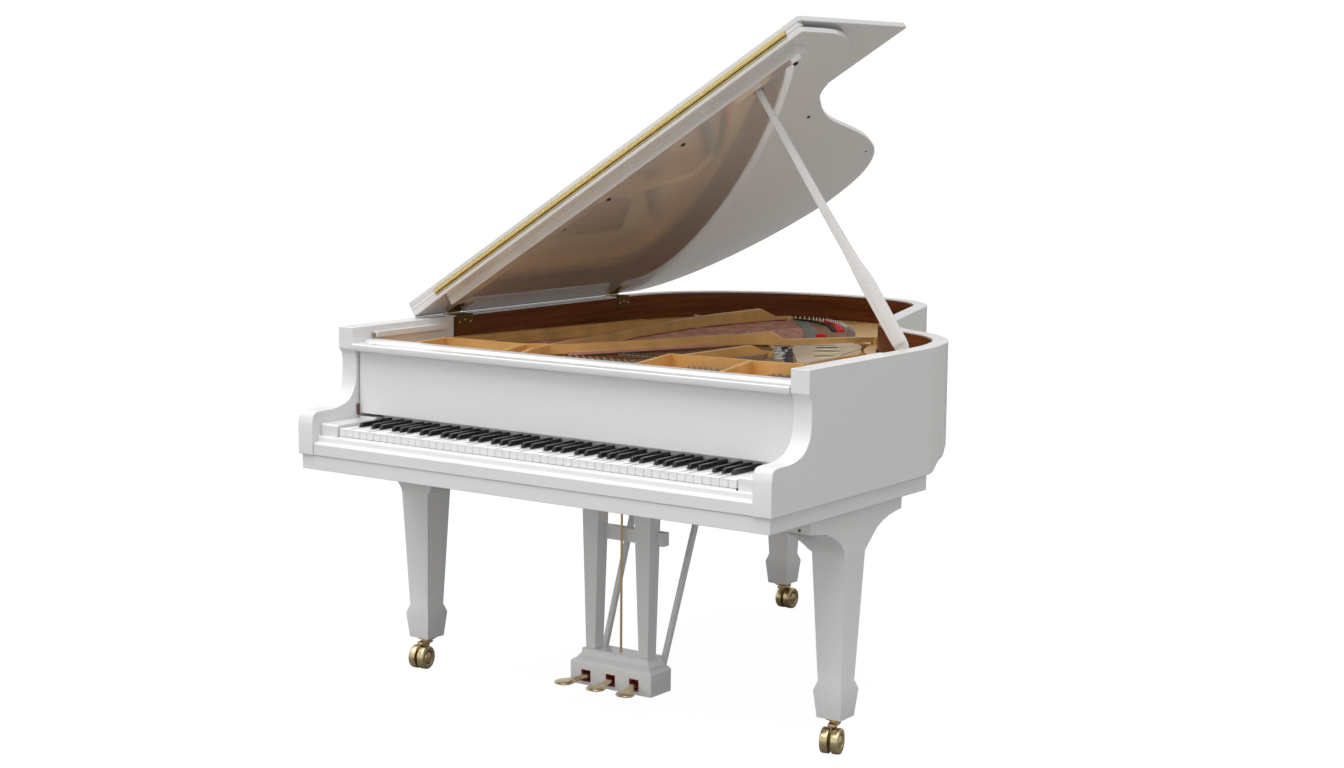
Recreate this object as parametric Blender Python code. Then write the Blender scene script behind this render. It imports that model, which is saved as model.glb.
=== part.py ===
"""White baby grand piano: case, lid, keyboard, pedals, legs and casters.

Metres, +Z up. +X is the treble side, +Y runs from the player to the tail.
The working numbers below are measured from the middle of the keyboard (x)
and the front of the arms (y); XC and YC move them so that the middle of the
object's footprint is at the origin.
"""
import math
import bpy
import bmesh
from mathutils import Matrix, Vector

for ob in list(bpy.data.objects):
    bpy.data.objects.remove(ob, do_unlink=True)

# ------------------------------------------------------------------ sizes
XC, YC = -0.0098, 0.9362          # middle of the footprint in working numbers

HALF_W = 0.727                  # half the case's width
RIM_TOP = 0.961
RIM_BOTTOM = 0.690              # behind the keybed
SIDE_BOTTOM = 0.642             # beside the keybed
ARM_T = 0.051                   # arm thickness
RIM_T = 0.040                   # outer rim thickness
ARM_END = 0.557                 # where the arm's white inner panel ends
VENEER_T = 0.0036
BED_BOTTOM, BED_TOP = 0.6035, 0.6417
GAP = 0.0003                    # between pieces that touch

SIDE_STRAIGHT = 0.684           # straight part of the treble side
TAIL_SPINE = 1.392              # where the spine's straight part begins
# bends of the rim seen from above: arc length and turn in degrees (+ is left)
RIM_BENDS = [(0.169, 17.5), (0.273, 49.7), (0.294, -48.6), (0.445, -1.1),
             (0.257, 58.6), (0.137, 11.7), (0.300, 24.8), (0.238, 22.7),
             (0.222, 32.5), (0.098, 12.2)]

LID_ANGLE = 31.6                # opening of the lid
LID_AXIS_X, LID_AXIS_Z = -0.7285, 0.9625
LID_T = 0.0165
LID_OVER = 0.006                # lid's overhang past the rim
# the lid's treble edge, which has a deeper waist than the rim, from the front
# corner's straight part to the tail, where it meets the rim's own line
LID_WAIST = [(0.7245, 0.540), (0.723, 0.597), (0.717, 0.645), (0.702, 0.697),
             (0.677, 0.740), (0.641, 0.784), (0.597, 0.828), (0.550, 0.864),
             (0.500, 0.890), (0.460, 0.915), (0.433, 0.944), (0.410, 0.980),
             (0.382, 1.026), (0.356, 1.075), (0.331, 1.130), (0.310, 1.188),
             (0.287, 1.266), (0.265, 1.348), (0.243, 1.425), (0.215, 1.512),
             (0.176, 1.606), (0.148, 1.660), (0.107, 1.718), (0.058, 1.768),
             (0.009, 1.805), (-0.041, 1.832), (-0.095, 1.851), (-0.150, 1.863)]
LID_FRONT = 0.4475              # main lid's front edge
FLAP_DEPTH = 0.5216
FLAP_T = 0.015
FLAP_GAP = 0.010
FLAP_AXIS_Y = 0.446
FLAP_AXIS_N = LID_T + FLAP_GAP / 2

WHITE_TOP, WHITE_BOTTOM = 0.714, 0.693
KEY_FRONT = 0.0335
KEY_PITCH = 0.02356
KEY_AXIS_Y, KEY_AXIS_Z = 0.255, 0.6925
BLACK_FRONT, BLACK_BACK = 0.084, 0.200
BLACK_TOP = 0.726

FALL_AXIS_Y, FALL_AXIS_Z = 0.187, 0.745

LEG_X, LEG_Y = 0.656, 0.4156
REAR_LEG = (-0.235, 1.590)
CASTER_R = 0.032
CASTER_TRAIL = 0.026

PEDAL_X = (-0.079, 0.0, 0.075)
PEDAL_AXIS_Y, PEDAL_AXIS_Z = 0.410, 0.0735

PROP_BASE = (0.671, 0.6936, 0.9477)
PROP_TIP = (0.2831, 0.6055, 1.5863)


# -------------------------------------------------------------- materials
def material(name, colour, rough, metal=0.0):
    m = bpy.data.materials.get(name)
    if m is None:
        m = bpy.data.materials.new(name)
        m.use_nodes = True
        p = m.node_tree.nodes["Principled BSDF"]
        p.inputs["Base Color"].default_value = (*colour, 1.0)
        p.inputs["Roughness"].default_value = rough
        p.inputs["Metallic"].default_value = metal
    return m


WHITE = ("white_lacquer", (0.86, 0.86, 0.87), 0.16)
IVORY = ("key_white", (0.88, 0.88, 0.86), 0.2)
EBONY = ("key_black", (0.02, 0.02, 0.022), 0.3)
MAHOGANY = ("mahogany", (0.24, 0.085, 0.035), 0.35)
SPRUCE = ("spruce", (0.62, 0.42, 0.2), 0.5)
BEECH = ("beech", (0.5, 0.34, 0.2), 0.55)
GOLD = ("plate_gold", (0.55, 0.33, 0.12), 0.4, 0.7)
BRASS = ("brass", (0.72, 0.53, 0.25), 0.25, 1.0)
STEEL = ("string_steel", (0.45, 0.3, 0.22), 0.35, 0.9)
FELT = ("damper_felt", (0.1, 0.1, 0.1), 0.9)


# ---------------------------------------------------------------- helpers
def add(name, bm, mat, pivot=(0.0, 0.0, 0.0), shift=True, smooth=None):
    """Make an object whose origin is at pivot, in working numbers."""
    off = Vector((XC, YC, 0.0)) if shift else Vector((0.0, 0.0, 0.0))
    p = Vector(pivot)
    bmesh.ops.translate(bm, verts=bm.verts, vec=-p)
    bmesh.ops.recalc_face_normals(bm, faces=bm.faces)
    me = bpy.data.meshes.new(name)
    bm.to_mesh(me)
    bm.free()
    ob = bpy.data.objects.new(name, me)
    bpy.context.scene.collection.objects.link(ob)
    ob.location = p - off
    me.materials.append(material(*mat))
    if smooth:
        me.shade_smooth()
        me.set_sharp_from_angle(angle=math.radians(smooth))
    return ob


def prism(points, lo, hi, axis):
    """A polygon extruded along an axis, as a bmesh. points are (y, z) for
    axis x, (x, z) for axis y and (x, y) for axis z."""
    bm = bmesh.new()
    def at(p, t):
        if axis == "x":
            return (t, p[0], p[1])
        if axis == "y":
            return (p[0], t, p[1])
        return (p[0], p[1], t)
    a = [bm.verts.new(at(p, lo)) for p in points]
    b = [bm.verts.new(at(p, hi)) for p in points]
    bm.faces.new(a)
    bm.faces.new(list(reversed(b)))
    n = len(points)
    for i in range(n):
        j = (i + 1) % n
        bm.faces.new((a[i], b[i], b[j], a[j]))
    bmesh.ops.recalc_face_normals(bm, faces=bm.faces)
    return bm


def block(x0, x1, y0, y1, z0, z1):
    return prism([(x0, y0), (x1, y0), (x1, y1), (x0, y1)], z0, z1, "z")


def loft(rings):
    """Closed solid through rings of equal point count, capped at both ends."""
    bm = bmesh.new()
    vs = [[bm.verts.new(p) for p in ring] for ring in rings]
    n = len(rings[0])
    for r in range(len(vs) - 1):
        for i in range(n):
            j = (i + 1) % n
            bm.faces.new((vs[r][i], vs[r][j], vs[r + 1][j], vs[r + 1][i]))
    bm.faces.new(list(reversed(vs[0])))
    bm.faces.new(vs[-1])
    bmesh.ops.recalc_face_normals(bm, faces=bm.faces)
    return bm


def rect_ring(x0, x1, y0, y1, z):
    return [(x0, y0, z), (x1, y0, z), (x1, y1, z), (x0, y1, z)]


def cylinder(p, q, r, segments=16):
    p, q = Vector(p), Vector(q)
    d = (q - p).normalized()
    side = Vector((1, 0, 0)) if abs(d.x) < 0.9 else Vector((0, 1, 0))
    u = d.cross(side).normalized()
    v = d.cross(u)
    rings = []
    for c in (p, q):
        rings.append([tuple(c + r * (math.cos(2 * math.pi * k / segments) * u
                                     + math.sin(2 * math.pi * k / segments) * v))
                      for k in range(segments)])
    return loft(rings)


def turned(p, axis, profile, segments=24):
    """Solid of revolution: profile is (distance along axis, radius)."""
    p, d = Vector(p), Vector(axis).normalized()
    side = Vector((1, 0, 0)) if abs(d.x) < 0.9 else Vector((0, 1, 0))
    u = d.cross(side).normalized()
    v = d.cross(u)
    rings = []
    for t, r in profile:
        rings.append([tuple(p + d * t + r * (math.cos(2 * math.pi * k / segments) * u
                                             + math.sin(2 * math.pi * k / segments) * v))
                      for k in range(segments)])
    return loft(rings)


def combine(base, others, operation):
    """Boolean of bmeshes, with the exact solver, as a new bmesh."""
    scene = bpy.context.scene.collection
    def temp(bm, nm):
        me = bpy.data.meshes.new(nm)
        bm.to_mesh(me)
        bm.free()
        ob = bpy.data.objects.new(nm, me)
        scene.objects.link(ob)
        return ob
    a = temp(base, "work_base")
    made = [a]
    for k, o in enumerate(others):
        b = temp(o, "work_%d" % k)
        b.hide_render = True
        b.display_type = "WIRE"
        made.append(b)
        mod = a.modifiers.new("cut_%d" % k, "BOOLEAN")
        mod.operation = operation
        mod.solver = "EXACT"
        mod.object = b
    dg = bpy.context.evaluated_depsgraph_get()
    dg.update()
    me = bpy.data.meshes.new_from_object(a.evaluated_get(dg))
    out = bmesh.new()
    out.from_mesh(me)
    for ob in made:
        bpy.data.objects.remove(ob, do_unlink=True)
    bpy.data.meshes.remove(me)
    bmesh.ops.remove_doubles(out, verts=out.verts, dist=1e-6)
    return out


def cut(base, *others):
    return combine(base, others, "DIFFERENCE")


def join(base, *others):
    return combine(base, others, "UNION")


def common(base, other):
    return combine(base, [other], "INTERSECT")


def smooth_line(pts, per=3):
    """Points on a curve through pts, which keeps its two ends."""
    out = []
    n = len(pts)
    for i in range(n - 1):
        p0 = pts[max(i - 1, 0)]
        p1, p2 = pts[i], pts[i + 1]
        p3 = pts[min(i + 2, n - 1)]
        for k in range(per):
            t = k / per
            out.append(tuple(
                0.5 * (2 * p1[c] + (p2[c] - p0[c]) * t
                       + (2 * p0[c] - 5 * p1[c] + 4 * p2[c] - p3[c]) * t * t
                       + (3 * p1[c] - p0[c] - 3 * p2[c] + p3[c]) * t ** 3)
                for c in range(2)))
    out.append(pts[-1])
    return out


# ------------------------------------------------------------ rim outline
def rim_path(step=6.0):
    """Outer rim from the end of the treble side's straight part round the
    tail to the spine, as points with unit normals that point inwards."""
    x, y, head = HALF_W, SIDE_STRAIGHT, 90.0
    raw = [(x, y, head)]
    for length, turn in RIM_BENDS:
        n = max(2, int(round(abs(turn) / step)), int(length / 0.09))
        for k in range(n):
            mid = head + turn / n / 2
            x += length / n * math.cos(math.radians(mid))
            y += length / n * math.sin(math.radians(mid))
            head += turn / n
            raw.append((x, y, head))
    xe, ye = raw[-1][0], raw[-1][1]
    kx = (-HALF_W - HALF_W) / (xe - HALF_W)
    ky = (TAIL_SPINE - SIDE_STRAIGHT) / (ye - SIDE_STRAIGHT)
    out = []
    for px, py, h in raw:
        qx = HALF_W + (px - HALF_W) * kx
        qy = SIDE_STRAIGHT + (py - SIDE_STRAIGHT) * (1 + (ky - 1))
        tx, ty = math.cos(math.radians(h)) * kx, math.sin(math.radians(h)) * ky
        ln = math.hypot(tx, ty)
        out.append((qx, qy, -ty / ln, tx / ln))
    return out


def rim_offset(d, y_right, y_left, step=6.0):
    """The rim's outline moved inwards by d, from y_right on the treble side
    round the tail to y_left on the spine."""
    pts = [(HALF_W - d, y_right)]
    for x, y, nx, ny in rim_path(step):
        pts.append((x + nx * d, y + ny * d))
    pts.append((-HALF_W + d, y_left))
    return pts


def ribbon(d_out, d_in, y_front, z0, z1, step=6.0):
    outer = rim_offset(d_out, y_front, y_front, step)
    inner = rim_offset(d_in, y_front, y_front, step)
    return prism(outer + list(reversed(inner)), z0, z1, "z")


# ==================================================================== case
# outer rim and arms: the arms are thicker than the rim behind them
outer = rim_offset(0.0, 0.0, 0.0)
inner = rim_offset(RIM_T, ARM_END, ARM_END)
plan = (outer + [(-HALF_W + ARM_T, 0.0), (-HALF_W + ARM_T, ARM_END)]
        + list(reversed(inner)) + [(HALF_W - ARM_T, ARM_END), (HALF_W - ARM_T, 0.0)])
rim = prism(plan, SIDE_BOTTOM, RIM_TOP, "z")
arm_line = smooth_line([(0.0, 0.722), (0.006, 0.746), (0.021, 0.7535), (0.052, 0.7545),
                        (0.092, 0.757), (0.130, 0.769), (0.151, 0.789), (0.163, 0.815),
                        (0.166, 0.860), (0.163, 0.890), (0.153, 0.904)])
arm_cut = prism([(-0.05, 0.722)] + arm_line + [(0.153, 1.0), (-0.05, 1.0)], -0.8, 0.8, "x")
bottom_line = smooth_line([(0.735, 0.642), (0.760, 0.6455), (0.800, 0.667),
                           (0.840, 0.671), (0.875, RIM_BOTTOM)], 2)
bottom_cut = prism([(0.735, 0.60)] + bottom_line + [(2.2, RIM_BOTTOM), (2.2, 0.60)],
                   -0.8, 0.8, "x")
rim = cut(rim, arm_cut, bottom_cut)
add("outer_rim", rim, WHITE, smooth=25)

# brown veneer band on the rim's inner face
add("rim_veneer", ribbon(RIM_T + GAP, RIM_T + VENEER_T, ARM_END + 0.001, 0.842, 0.957), MAHOGANY,
    smooth=25)

# inner rim with belly rail, beams and the rear leg's block
IR_IN = RIM_T + 0.045
inner_rim = ribbon(RIM_T + GAP, IR_IN, 0.660, 0.702, 0.8415)
belly = block(-HALF_W + IR_IN - 0.01, HALF_W - IR_IN + 0.01, 0.662, 0.700, 0.702, 0.8405)
beam_a = prism([(-0.30, 0.69), (-0.24, 0.69), (-0.205, 1.64), (-0.265, 1.64)], 0.704, 0.775, "z")
beam_b = prism([(0.22, 0.69), (0.28, 0.69), (-0.17, 1.60), (-0.23, 1.60)], 0.7045, 0.774, "z")
leg_block = prism([(-0.325, 1.50), (-0.145, 1.50), (-0.145, 1.70), (-0.20, 1.80),
                   (-0.27, 1.80), (-0.325, 1.70)], 0.703, 0.780, "z")
inner_rim = join(inner_rim, belly, beam_a, beam_b, leg_block)
add("inner_rim", inner_rim, BEECH)

# keybed with blind holes for the pedal rods
keybed = block(-0.7197, 0.7197, 0.007, 0.730, BED_BOTTOM, BED_TOP)
ROD_Y = (0.4515, 0.430, 0.4515)
ROD_R = 0.0032
keybed = cut(keybed, *[cylinder((PEDAL_X[k], ROD_Y[k], 0.59), (PEDAL_X[k], ROD_Y[k], 0.6375), 0.0065, 12)
                       for k in range(3)])
add("keybed", keybed, WHITE)

# key slip, cheek blocks, key frame, top rail
SLIP_X = 0.6757
slip = prism([(0.004, 0.6423), (0.004, 0.671), (0.0075, 0.6745), (0.017, 0.676), (0.0185, 0.688),
              (0.021, 0.691), (0.031, 0.691), (0.031, 0.6423)], -SLIP_X, SLIP_X, "x")
add("key_slip", slip, WHITE)
for side, nm in ((-1, "cheek_left"), (1, "cheek_right")):
    xs = sorted((side * 0.6172, side * 0.6757))
    cheek = prism([(0.0315, 0.6424), (0.0315, 0.7185), (0.035, 0.722), (0.172, 0.722),
                   (0.172, 0.6424)], xs[0], xs[1], "x")
    add(nm, cheek, WHITE)

frame_side = block(-0.610, 0.610, 0.045, 0.500, 0.6435, 0.672)
frame_rail = block(-0.6075, 0.6075, 0.246, 0.264, 0.670, 0.6912)
add("key_frame", join(frame_side, frame_rail), BEECH)

rail = prism([(0.147, 0.906), (0.147, 0.9165), (0.150, 0.9190), (0.160, 0.9198), (0.197, 0.9205),
              (0.199, 0.926), (0.228, 0.927), (0.228, 0.9005), (0.150, 0.9005)],
             -SLIP_X, SLIP_X, "x")
add("top_rail", rail, WHITE)
for side, nm in ((-1, "desk_slide_left"), (1, "desk_slide_right")):
    xs = sorted((side * 0.6597, side * 0.6757))
    slide = prism([(0.2290, 0.932), (0.2320, 0.930), (0.511, 0.930), (0.511, 0.945), (0.2290, 0.945)],
                  xs[0], xs[1], "x")
    add(nm, slide, WHITE)

# fallboard, hinged along its lower edge
fall = [(0.1765, 0.897), (0.175, 0.8955), (0.175, 0.7350), (0.1765, 0.7333), (0.1915, 0.7333),
        (0.193, 0.7350), (0.193, 0.8955), (0.1915, 0.897)]
add("fallboard", prism(fall, -0.6725, 0.6725, "x"), WHITE,
    pivot=(0.0, FALL_AXIS_Y, FALL_AXIS_Z), smooth=30)

# ================================================================ keyboard
# place of each black key's middle, in white-key widths from the octave's C
BLACK_AT = {"Cs": 0.90, "Ds": 2.08, "Fs": 3.87, "Gs": 5.0, "As": 6.12}
BLACK_W = 0.0108
KEY_SLIT = 0.0009
FINGER_END = 0.205
KEY_BACK = 0.300


def white_left_edge(index):
    """Left edge of white key number index, 0 for the lowest A."""
    return (index - 26) * KEY_PITCH


def black_middle(c_index, name):
    return white_left_edge(c_index) + BLACK_AT[name] * KEY_PITCH


blacks = []                      # (x of middle, octave number, name)
for octave in range(-1, 8):
    c_index = 2 + 7 * octave
    for nm in ("Cs", "Ds", "Fs", "Gs", "As"):
        at = white_left_edge(c_index) + BLACK_AT[nm] * KEY_PITCH
        if white_left_edge(0) < at < white_left_edge(51):
            blacks.append((at, octave, nm))


def white_plan(first, last):
    """Plan outline of neighbouring white keys with slits between them and
    room for the black keys, joined behind by a bar."""
    x_l = white_left_edge(first) + KEY_SLIT / 2
    x_r = white_left_edge(last + 1) - KEY_SLIT / 2
    room = BLACK_W / 2 + 0.0011
    inside = []
    for i in range(first + 1, last + 1):
        e = white_left_edge(i)
        near = [b[0] for b in blacks if abs(b[0] - e) < 0.008]
        s = KEY_SLIT / 2
        if near:
            b = near[0]
            inside += [(e - s, KEY_FRONT), (e - s, BLACK_FRONT - 0.0012), (b - room, BLACK_FRONT - 0.0012),
                       (b - room, FINGER_END), (b + room, FINGER_END),
                       (b + room, BLACK_FRONT - 0.0012), (e + s, BLACK_FRONT - 0.0012), (e + s, KEY_FRONT)]
        else:
            inside += [(e - s, KEY_FRONT), (e - s, FINGER_END), (e + s, FINGER_END), (e + s, KEY_FRONT)]
    left = [(x_l, KEY_FRONT)]
    right = [(x_r, KEY_FRONT)]
    near = [b[0] for b in blacks if abs(b[0] - white_left_edge(first)) < 0.008]
    lead = []
    if near:
        b = near[0]
        lead = [(b + room, FINGER_END), (b + room, BLACK_FRONT - 0.0012), (x_l, BLACK_FRONT - 0.0012)]
    near = [b[0] for b in blacks if abs(b[0] - white_left_edge(last + 1)) < 0.008]
    trail = []
    if near:
        b = near[0]
        trail = [(x_r, BLACK_FRONT - 0.0012), (b - room, BLACK_FRONT - 0.0012), (b - room, FINGER_END)]
    bar_l = [(x_l, FINGER_END)] if lead else []
    bar_r = [(x_r, FINGER_END)] if trail else []
    return ([(x_l, KEY_BACK)] + bar_l + lead + left + inside + right + trail + bar_r
            + [(x_r, KEY_BACK)])


def white_keys(name, first, last):
    bm = prism(white_plan(first, last), WHITE_BOTTOM, WHITE_TOP, "z")
    add(name, bm, IVORY, pivot=(0.0, KEY_AXIS_Y, KEY_AXIS_Z))


def black_top(x):
    """One black key's raised part, narrower on top with a sloped front."""
    w, t = BLACK_W / 2, BLACK_W / 2 - 0.0009
    return loft([rect_ring(x - w, x + w, BLACK_FRONT, BLACK_BACK, 0.7030),
                 rect_ring(x - w, x + w, BLACK_FRONT + 0.0006, BLACK_BACK, 0.7150),
                 rect_ring(x - t, x + t, BLACK_FRONT + 0.0045, BLACK_BACK, BLACK_TOP)])


def black_keys(name, chosen):
    x_l = min(b[0] for b in chosen) - BLACK_W / 2
    x_r = max(b[0] for b in chosen) + BLACK_W / 2
    bar = block(x_l, x_r, BLACK_BACK - 0.004, KEY_BACK, 0.7175, 0.7250)
    bm = join(bar, *[black_top(b[0]) for b in chosen])
    add(name, bm, EBONY, pivot=(0.0, KEY_AXIS_Y, KEY_AXIS_Z))


MIDDLE_C = 23                    # white key number of middle C
white_keys("keys_white_bass", 0, 22)
white_keys("keys_white_treble", 30, 51)
for k, nm in enumerate("CDEFGAB"):
    white_keys("key_%s4" % nm, MIDDLE_C + k, MIDDLE_C + k)
mid = [b for b in blacks if b[1] == 3]
black_keys("keys_black_bass", [b for b in blacks if b[1] < 3])
black_keys("keys_black_treble", [b for b in blacks if b[1] > 3])
for b in mid:
    black_keys("key_%s4" % b[2], [b])

# ============================================================ iron plate
PL = RIM_T + VENEER_T + 0.004    # plate's clearance from the outer face
PLATE_Z0, PLATE_Z1 = 0.8555, 0.8625
FLANGE_Z = 0.8835
WALL_Z = 0.916
PLATE_SIDE = HALF_W - ARM_T - 0.0015
plate_edge = ([(PLATE_SIDE, 0.236), (PLATE_SIDE, ARM_END + 0.004)]
              + rim_offset(PL, ARM_END + 0.004, ARM_END + 0.004, 9.0)
              + [(-PLATE_SIDE, ARM_END + 0.004), (-PLATE_SIDE, 0.236)])
plate = prism(plate_edge, PLATE_Z0, PLATE_Z1, "z")
flange_in = rim_offset(PL + 0.034, 0.60, 0.60, 9.0)
flange_out = rim_offset(PL + 0.0005, 0.60, 0.60, 9.0)
flange = prism(flange_out + list(reversed(flange_in)), 0.860, FLANGE_Z, "z")


def wall(path, t, z0, tops):
    """An upright web of thickness t along a path of (x, y), from z0 up to a
    height for each point, or one height for all."""
    n = len(path)
    if not isinstance(tops, (list, tuple)):
        tops = [tops] * n
    rings = []
    for i in range(n):
        a, b, c = path[max(i - 1, 0)], path[i], path[min(i + 1, n - 1)]
        d0 = Vector((b[0] - a[0], b[1] - a[1])) if i > 0 else Vector((c[0] - b[0], c[1] - b[1]))
        d1 = Vector((c[0] - b[0], c[1] - b[1])) if i < n - 1 else d0
        d0.normalize()
        d1.normalize()
        m = (d0 + d1).normalized()
        side = Vector((-m.y, m.x)) * (t / 2) / max(m.dot(d0), 0.5)
        rings.append([(b[0] + side.x, b[1] + side.y, z0), (b[0] - side.x, b[1] - side.y, z0),
                      (b[0] - side.x, b[1] - side.y, tops[i]), (b[0] + side.x, b[1] + side.y, tops[i])])
    return loft(rings)


# webs round the pin fields
walls = [wall([(-0.6120, 0.4480), (-0.3470, 0.4600), (-0.3060, 0.5060)], 0.012, 0.8600, WALL_Z),
         wall([(-0.5780, 0.2400), (-0.6120, 0.4520)], 0.012, 0.8604, WALL_Z - 0.0004),
         wall([(-0.2750, 0.2400), (-0.2850, 0.2900), (-0.3470, 0.4640)], 0.011, 0.8606, WALL_Z - 0.0008),
         wall([(-0.1960, 0.2400), (-0.2300, 0.3050), (-0.2690, 0.3900), (-0.2880, 0.5000)], 0.011,
              0.8608, WALL_Z - 0.0012),
         wall([(0.1450, 0.2400), (0.1350, 0.3010), (0.0810, 0.5270), (0.3190, 0.5440)], 0.012, 0.8612,
              WALL_Z - 0.0002),
         wall([(0.3960, 0.2400), (0.3860, 0.3010), (0.3200, 0.5370), (0.4620, 0.5610)], 0.012, 0.8614,
              WALL_Z - 0.0006),
         wall([(-0.6640, 0.4540), (-0.6640, 0.5620)], 0.018, 0.8616, 0.9045)]
# struts from the webs to the tail; each rises to a peak and then drops
strut_a = wall([(-0.2980, 0.4980), (-0.3300, 0.8000), (-0.3640, 1.0050), (-0.3830, 1.3000), (-0.3740, 1.3900),
                (-0.3340, 1.5900), (-0.3200, 1.6550), (-0.2960, 1.7000)], 0.016, 0.8895,
               [0.9140, 0.9150, 0.9155, 0.9190, 0.9215, 0.9270, 0.8990, 0.8985])
strut_b = wall([(-0.2880, 0.4900), (-0.2120, 0.6300), (-0.1680, 0.7350), (-0.0950, 0.9050), (-0.0150, 1.0300),
                (0.0450, 1.0620), (0.0800, 1.0800), (0.1500, 1.1950), (0.2320, 1.3150)], 0.016, 0.8897,
               [0.9136, 0.9146, 0.9150, 0.9160, 0.9180, 0.9265, 0.9050, 0.9045, 0.9040])
strut_c = wall([(0.1080, 0.5300), (0.1160, 0.6200), (0.1370, 0.8150), (0.1470, 0.8560), (0.1520, 0.8850)],
               0.016, 0.8899, [0.9132, 0.9140, 0.9165, 0.8985, 0.8960])
posts = [turned((-0.3830, 1.3200, 0.858), (0, 0, 1), [(0, 0.0105), (0.0665, 0.0105)], 12),
         turned((-0.2960, 1.7000, 0.858), (0, 0, 1), [(0, 0.013), (0.0380, 0.013)], 12),
         turned((0.2320, 1.3150, 0.858), (0, 0, 1), [(0, 0.013), (0.0440, 0.013)], 12),
         turned((0.0480, 1.0640, 0.858), (0, 0, 1), [(0, 0.0095), (0.0600, 0.0095)], 12),
         turned((0.1520, 0.8850, 0.858), (0, 0, 1), [(0, 0.0120), (0.0360, 0.0120)], 12)]
# spine side's sloping flange and the broad hitch panel at the tail
spine = prism([(0.5650, 0.8620), (0.5650, 0.9043), (1.4400, 0.8850), (1.4400, 0.8620)], -0.6785, -0.6560, "x")
hitch = [(x, y) for x, y in flange_out if y > 1.30 and x > -0.36]
panel = prism([(0.232, 1.290), (0.150, 1.335), (0.092, 1.440), (0.035, 1.530), (-0.035, 1.611), (-0.110, 1.690),
               (-0.187, 1.738), (-0.287, 1.750), (-0.345, 1.735)] + list(reversed(hitch)), 0.8606, FLANGE_Z - 0.0003, "z")
# raised treble panel with cast slots
cheek = prism([(0.262, 0.905), (0.300, 1.110), (0.274, 1.165), (0.188, 1.300), (0.135, 1.195), (0.125, 1.040),
               (0.205, 0.905)], 0.8603, 0.8760, "z")
# openings over the soundboard, between the posts' webs
win = [prism([(-0.625, 0.605), (0.60, 0.605), (0.60, 0.652), (-0.625, 0.652)], 0.84, 0.8665, "z"),
       prism([(-0.590, 0.72), (-0.400, 0.72), (-0.450, 1.42), (-0.560, 1.42)], 0.84, 0.8663, "z"),
       prism([(-0.340, 0.72), (-0.180, 0.72), (-0.060, 1.00), (-0.150, 1.45), (-0.330, 1.45)], 0.84, 0.8661, "z"),
       prism([(-0.120, 0.72), (0.080, 0.72), (0.095, 0.92), (0.020, 0.99)], 0.84, 0.8659, "z"),
       prism([(0.340, 0.70), (0.52, 0.70), (0.52, 0.83), (0.42, 0.88), (0.340, 0.86)], 0.84, 0.8657, "z")]
slots = []
for k in range(4):
    x, y = 0.158 + 0.022 * k, 1.205 - 0.055 * k
    slots.append(wall([(x, y), (x + 0.048 - 0.003 * k, y + 0.044 - 0.003 * k)], 0.0075, 0.8400, 0.8900))
plate = cut(plate, *win)
plate = join(plate, flange, *walls, strut_a, strut_b, strut_c, *posts, spine, panel, cheek)
plate = cut(plate, *slots)
add("iron_plate", plate, GOLD)

# soundboard on the inner rim and the belly rail
sb = rim_offset(RIM_T + VENEER_T + 0.003, 0.664, 0.664, 9.0)
add("soundboard", prism(sb, 0.8420, 0.8500, "z"), SPRUCE)

# strings: a thin sheet in the strings' plane, with a slot for the dampers
def strings_sheet():
    pts = [(0.560, 0.600), (0.560, 0.660), (0.235, 0.895), (0.080, 1.115), (0.196, 1.290), (0.092, 1.455),
           (-0.035, 1.630), (-0.187, 1.755), (-0.300, 1.775), (-0.400, 1.730), (-0.500, 1.640), (-0.600, 1.500),
           (-0.640, 1.400), (-0.640, 0.545)]
    z0, z1 = 0.8842, 0.8862
    sheet = prism(pts, z0, z1, "z")
    slot = block(-0.590, 0.470, 0.6270, 0.6350, z0 - 0.01, z1 + 0.01)
    holes = [cylinder((x, y, 0.87), (x, y, 0.90), r, 12)
             for x, y, r in ((-0.3830, 1.3200, 0.0130), (-0.2960, 1.7000, 0.0155), (0.0480, 1.0640, 0.0120),
                             (0.1520, 0.8850, 0.0145))]
    return cut(sheet, slot, *holes)


add("strings", strings_sheet(), STEEL)

# dampers: heads on the strings, joined by the row of wires below them
heads = block(-0.585, 0.465, 0.6240, 0.6380, 0.8868, 0.8925)
wires = block(-0.583, 0.463, 0.6295, 0.6325, 0.7600, 0.8890)
dampers = join(heads, wires)
dampers = cut(dampers, prism([(-0.328, 0.60), (-0.290, 0.60), (-0.293, 0.66), (-0.332, 0.66)], 0.8835, 0.93, "z"),
              prism([(-0.250, 0.60), (-0.202, 0.60), (-0.177, 0.66), (-0.225, 0.66)], 0.8835, 0.93, "z"),
              prism([(0.098, 0.60), (0.132, 0.60), (0.138, 0.66), (0.104, 0.66)], 0.8835, 0.93, "z"))
add("damper_set", dampers, FELT)

# ====================================================================== lid
def lid_object(name, bm, mat, pivot_local=(0.0, 0.0, 0.0), smooth=None):
    """Pieces of the lid are drawn closed, in distances from the lid's hinge
    line, then turned up by the opening angle."""
    turn = Matrix.Rotation(math.radians(-LID_ANGLE), 4, "Y")
    bmesh.ops.recalc_face_normals(bm, faces=bm.faces)
    bmesh.ops.translate(bm, verts=bm.verts, vec=-Vector(pivot_local))
    me = bpy.data.meshes.new(name)
    bm.to_mesh(me)
    bm.free()
    ob = bpy.data.objects.new(name, me)
    bpy.context.scene.collection.objects.link(ob)
    ob.matrix_world = (Matrix.Translation((LID_AXIS_X - XC, -YC, LID_AXIS_Z)) @ turn
                       @ Matrix.Translation(pivot_local))
    me.materials.append(material(*mat))
    if smooth:
        me.shade_smooth()
        me.set_sharp_from_angle(angle=math.radians(smooth))
    return ob


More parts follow.
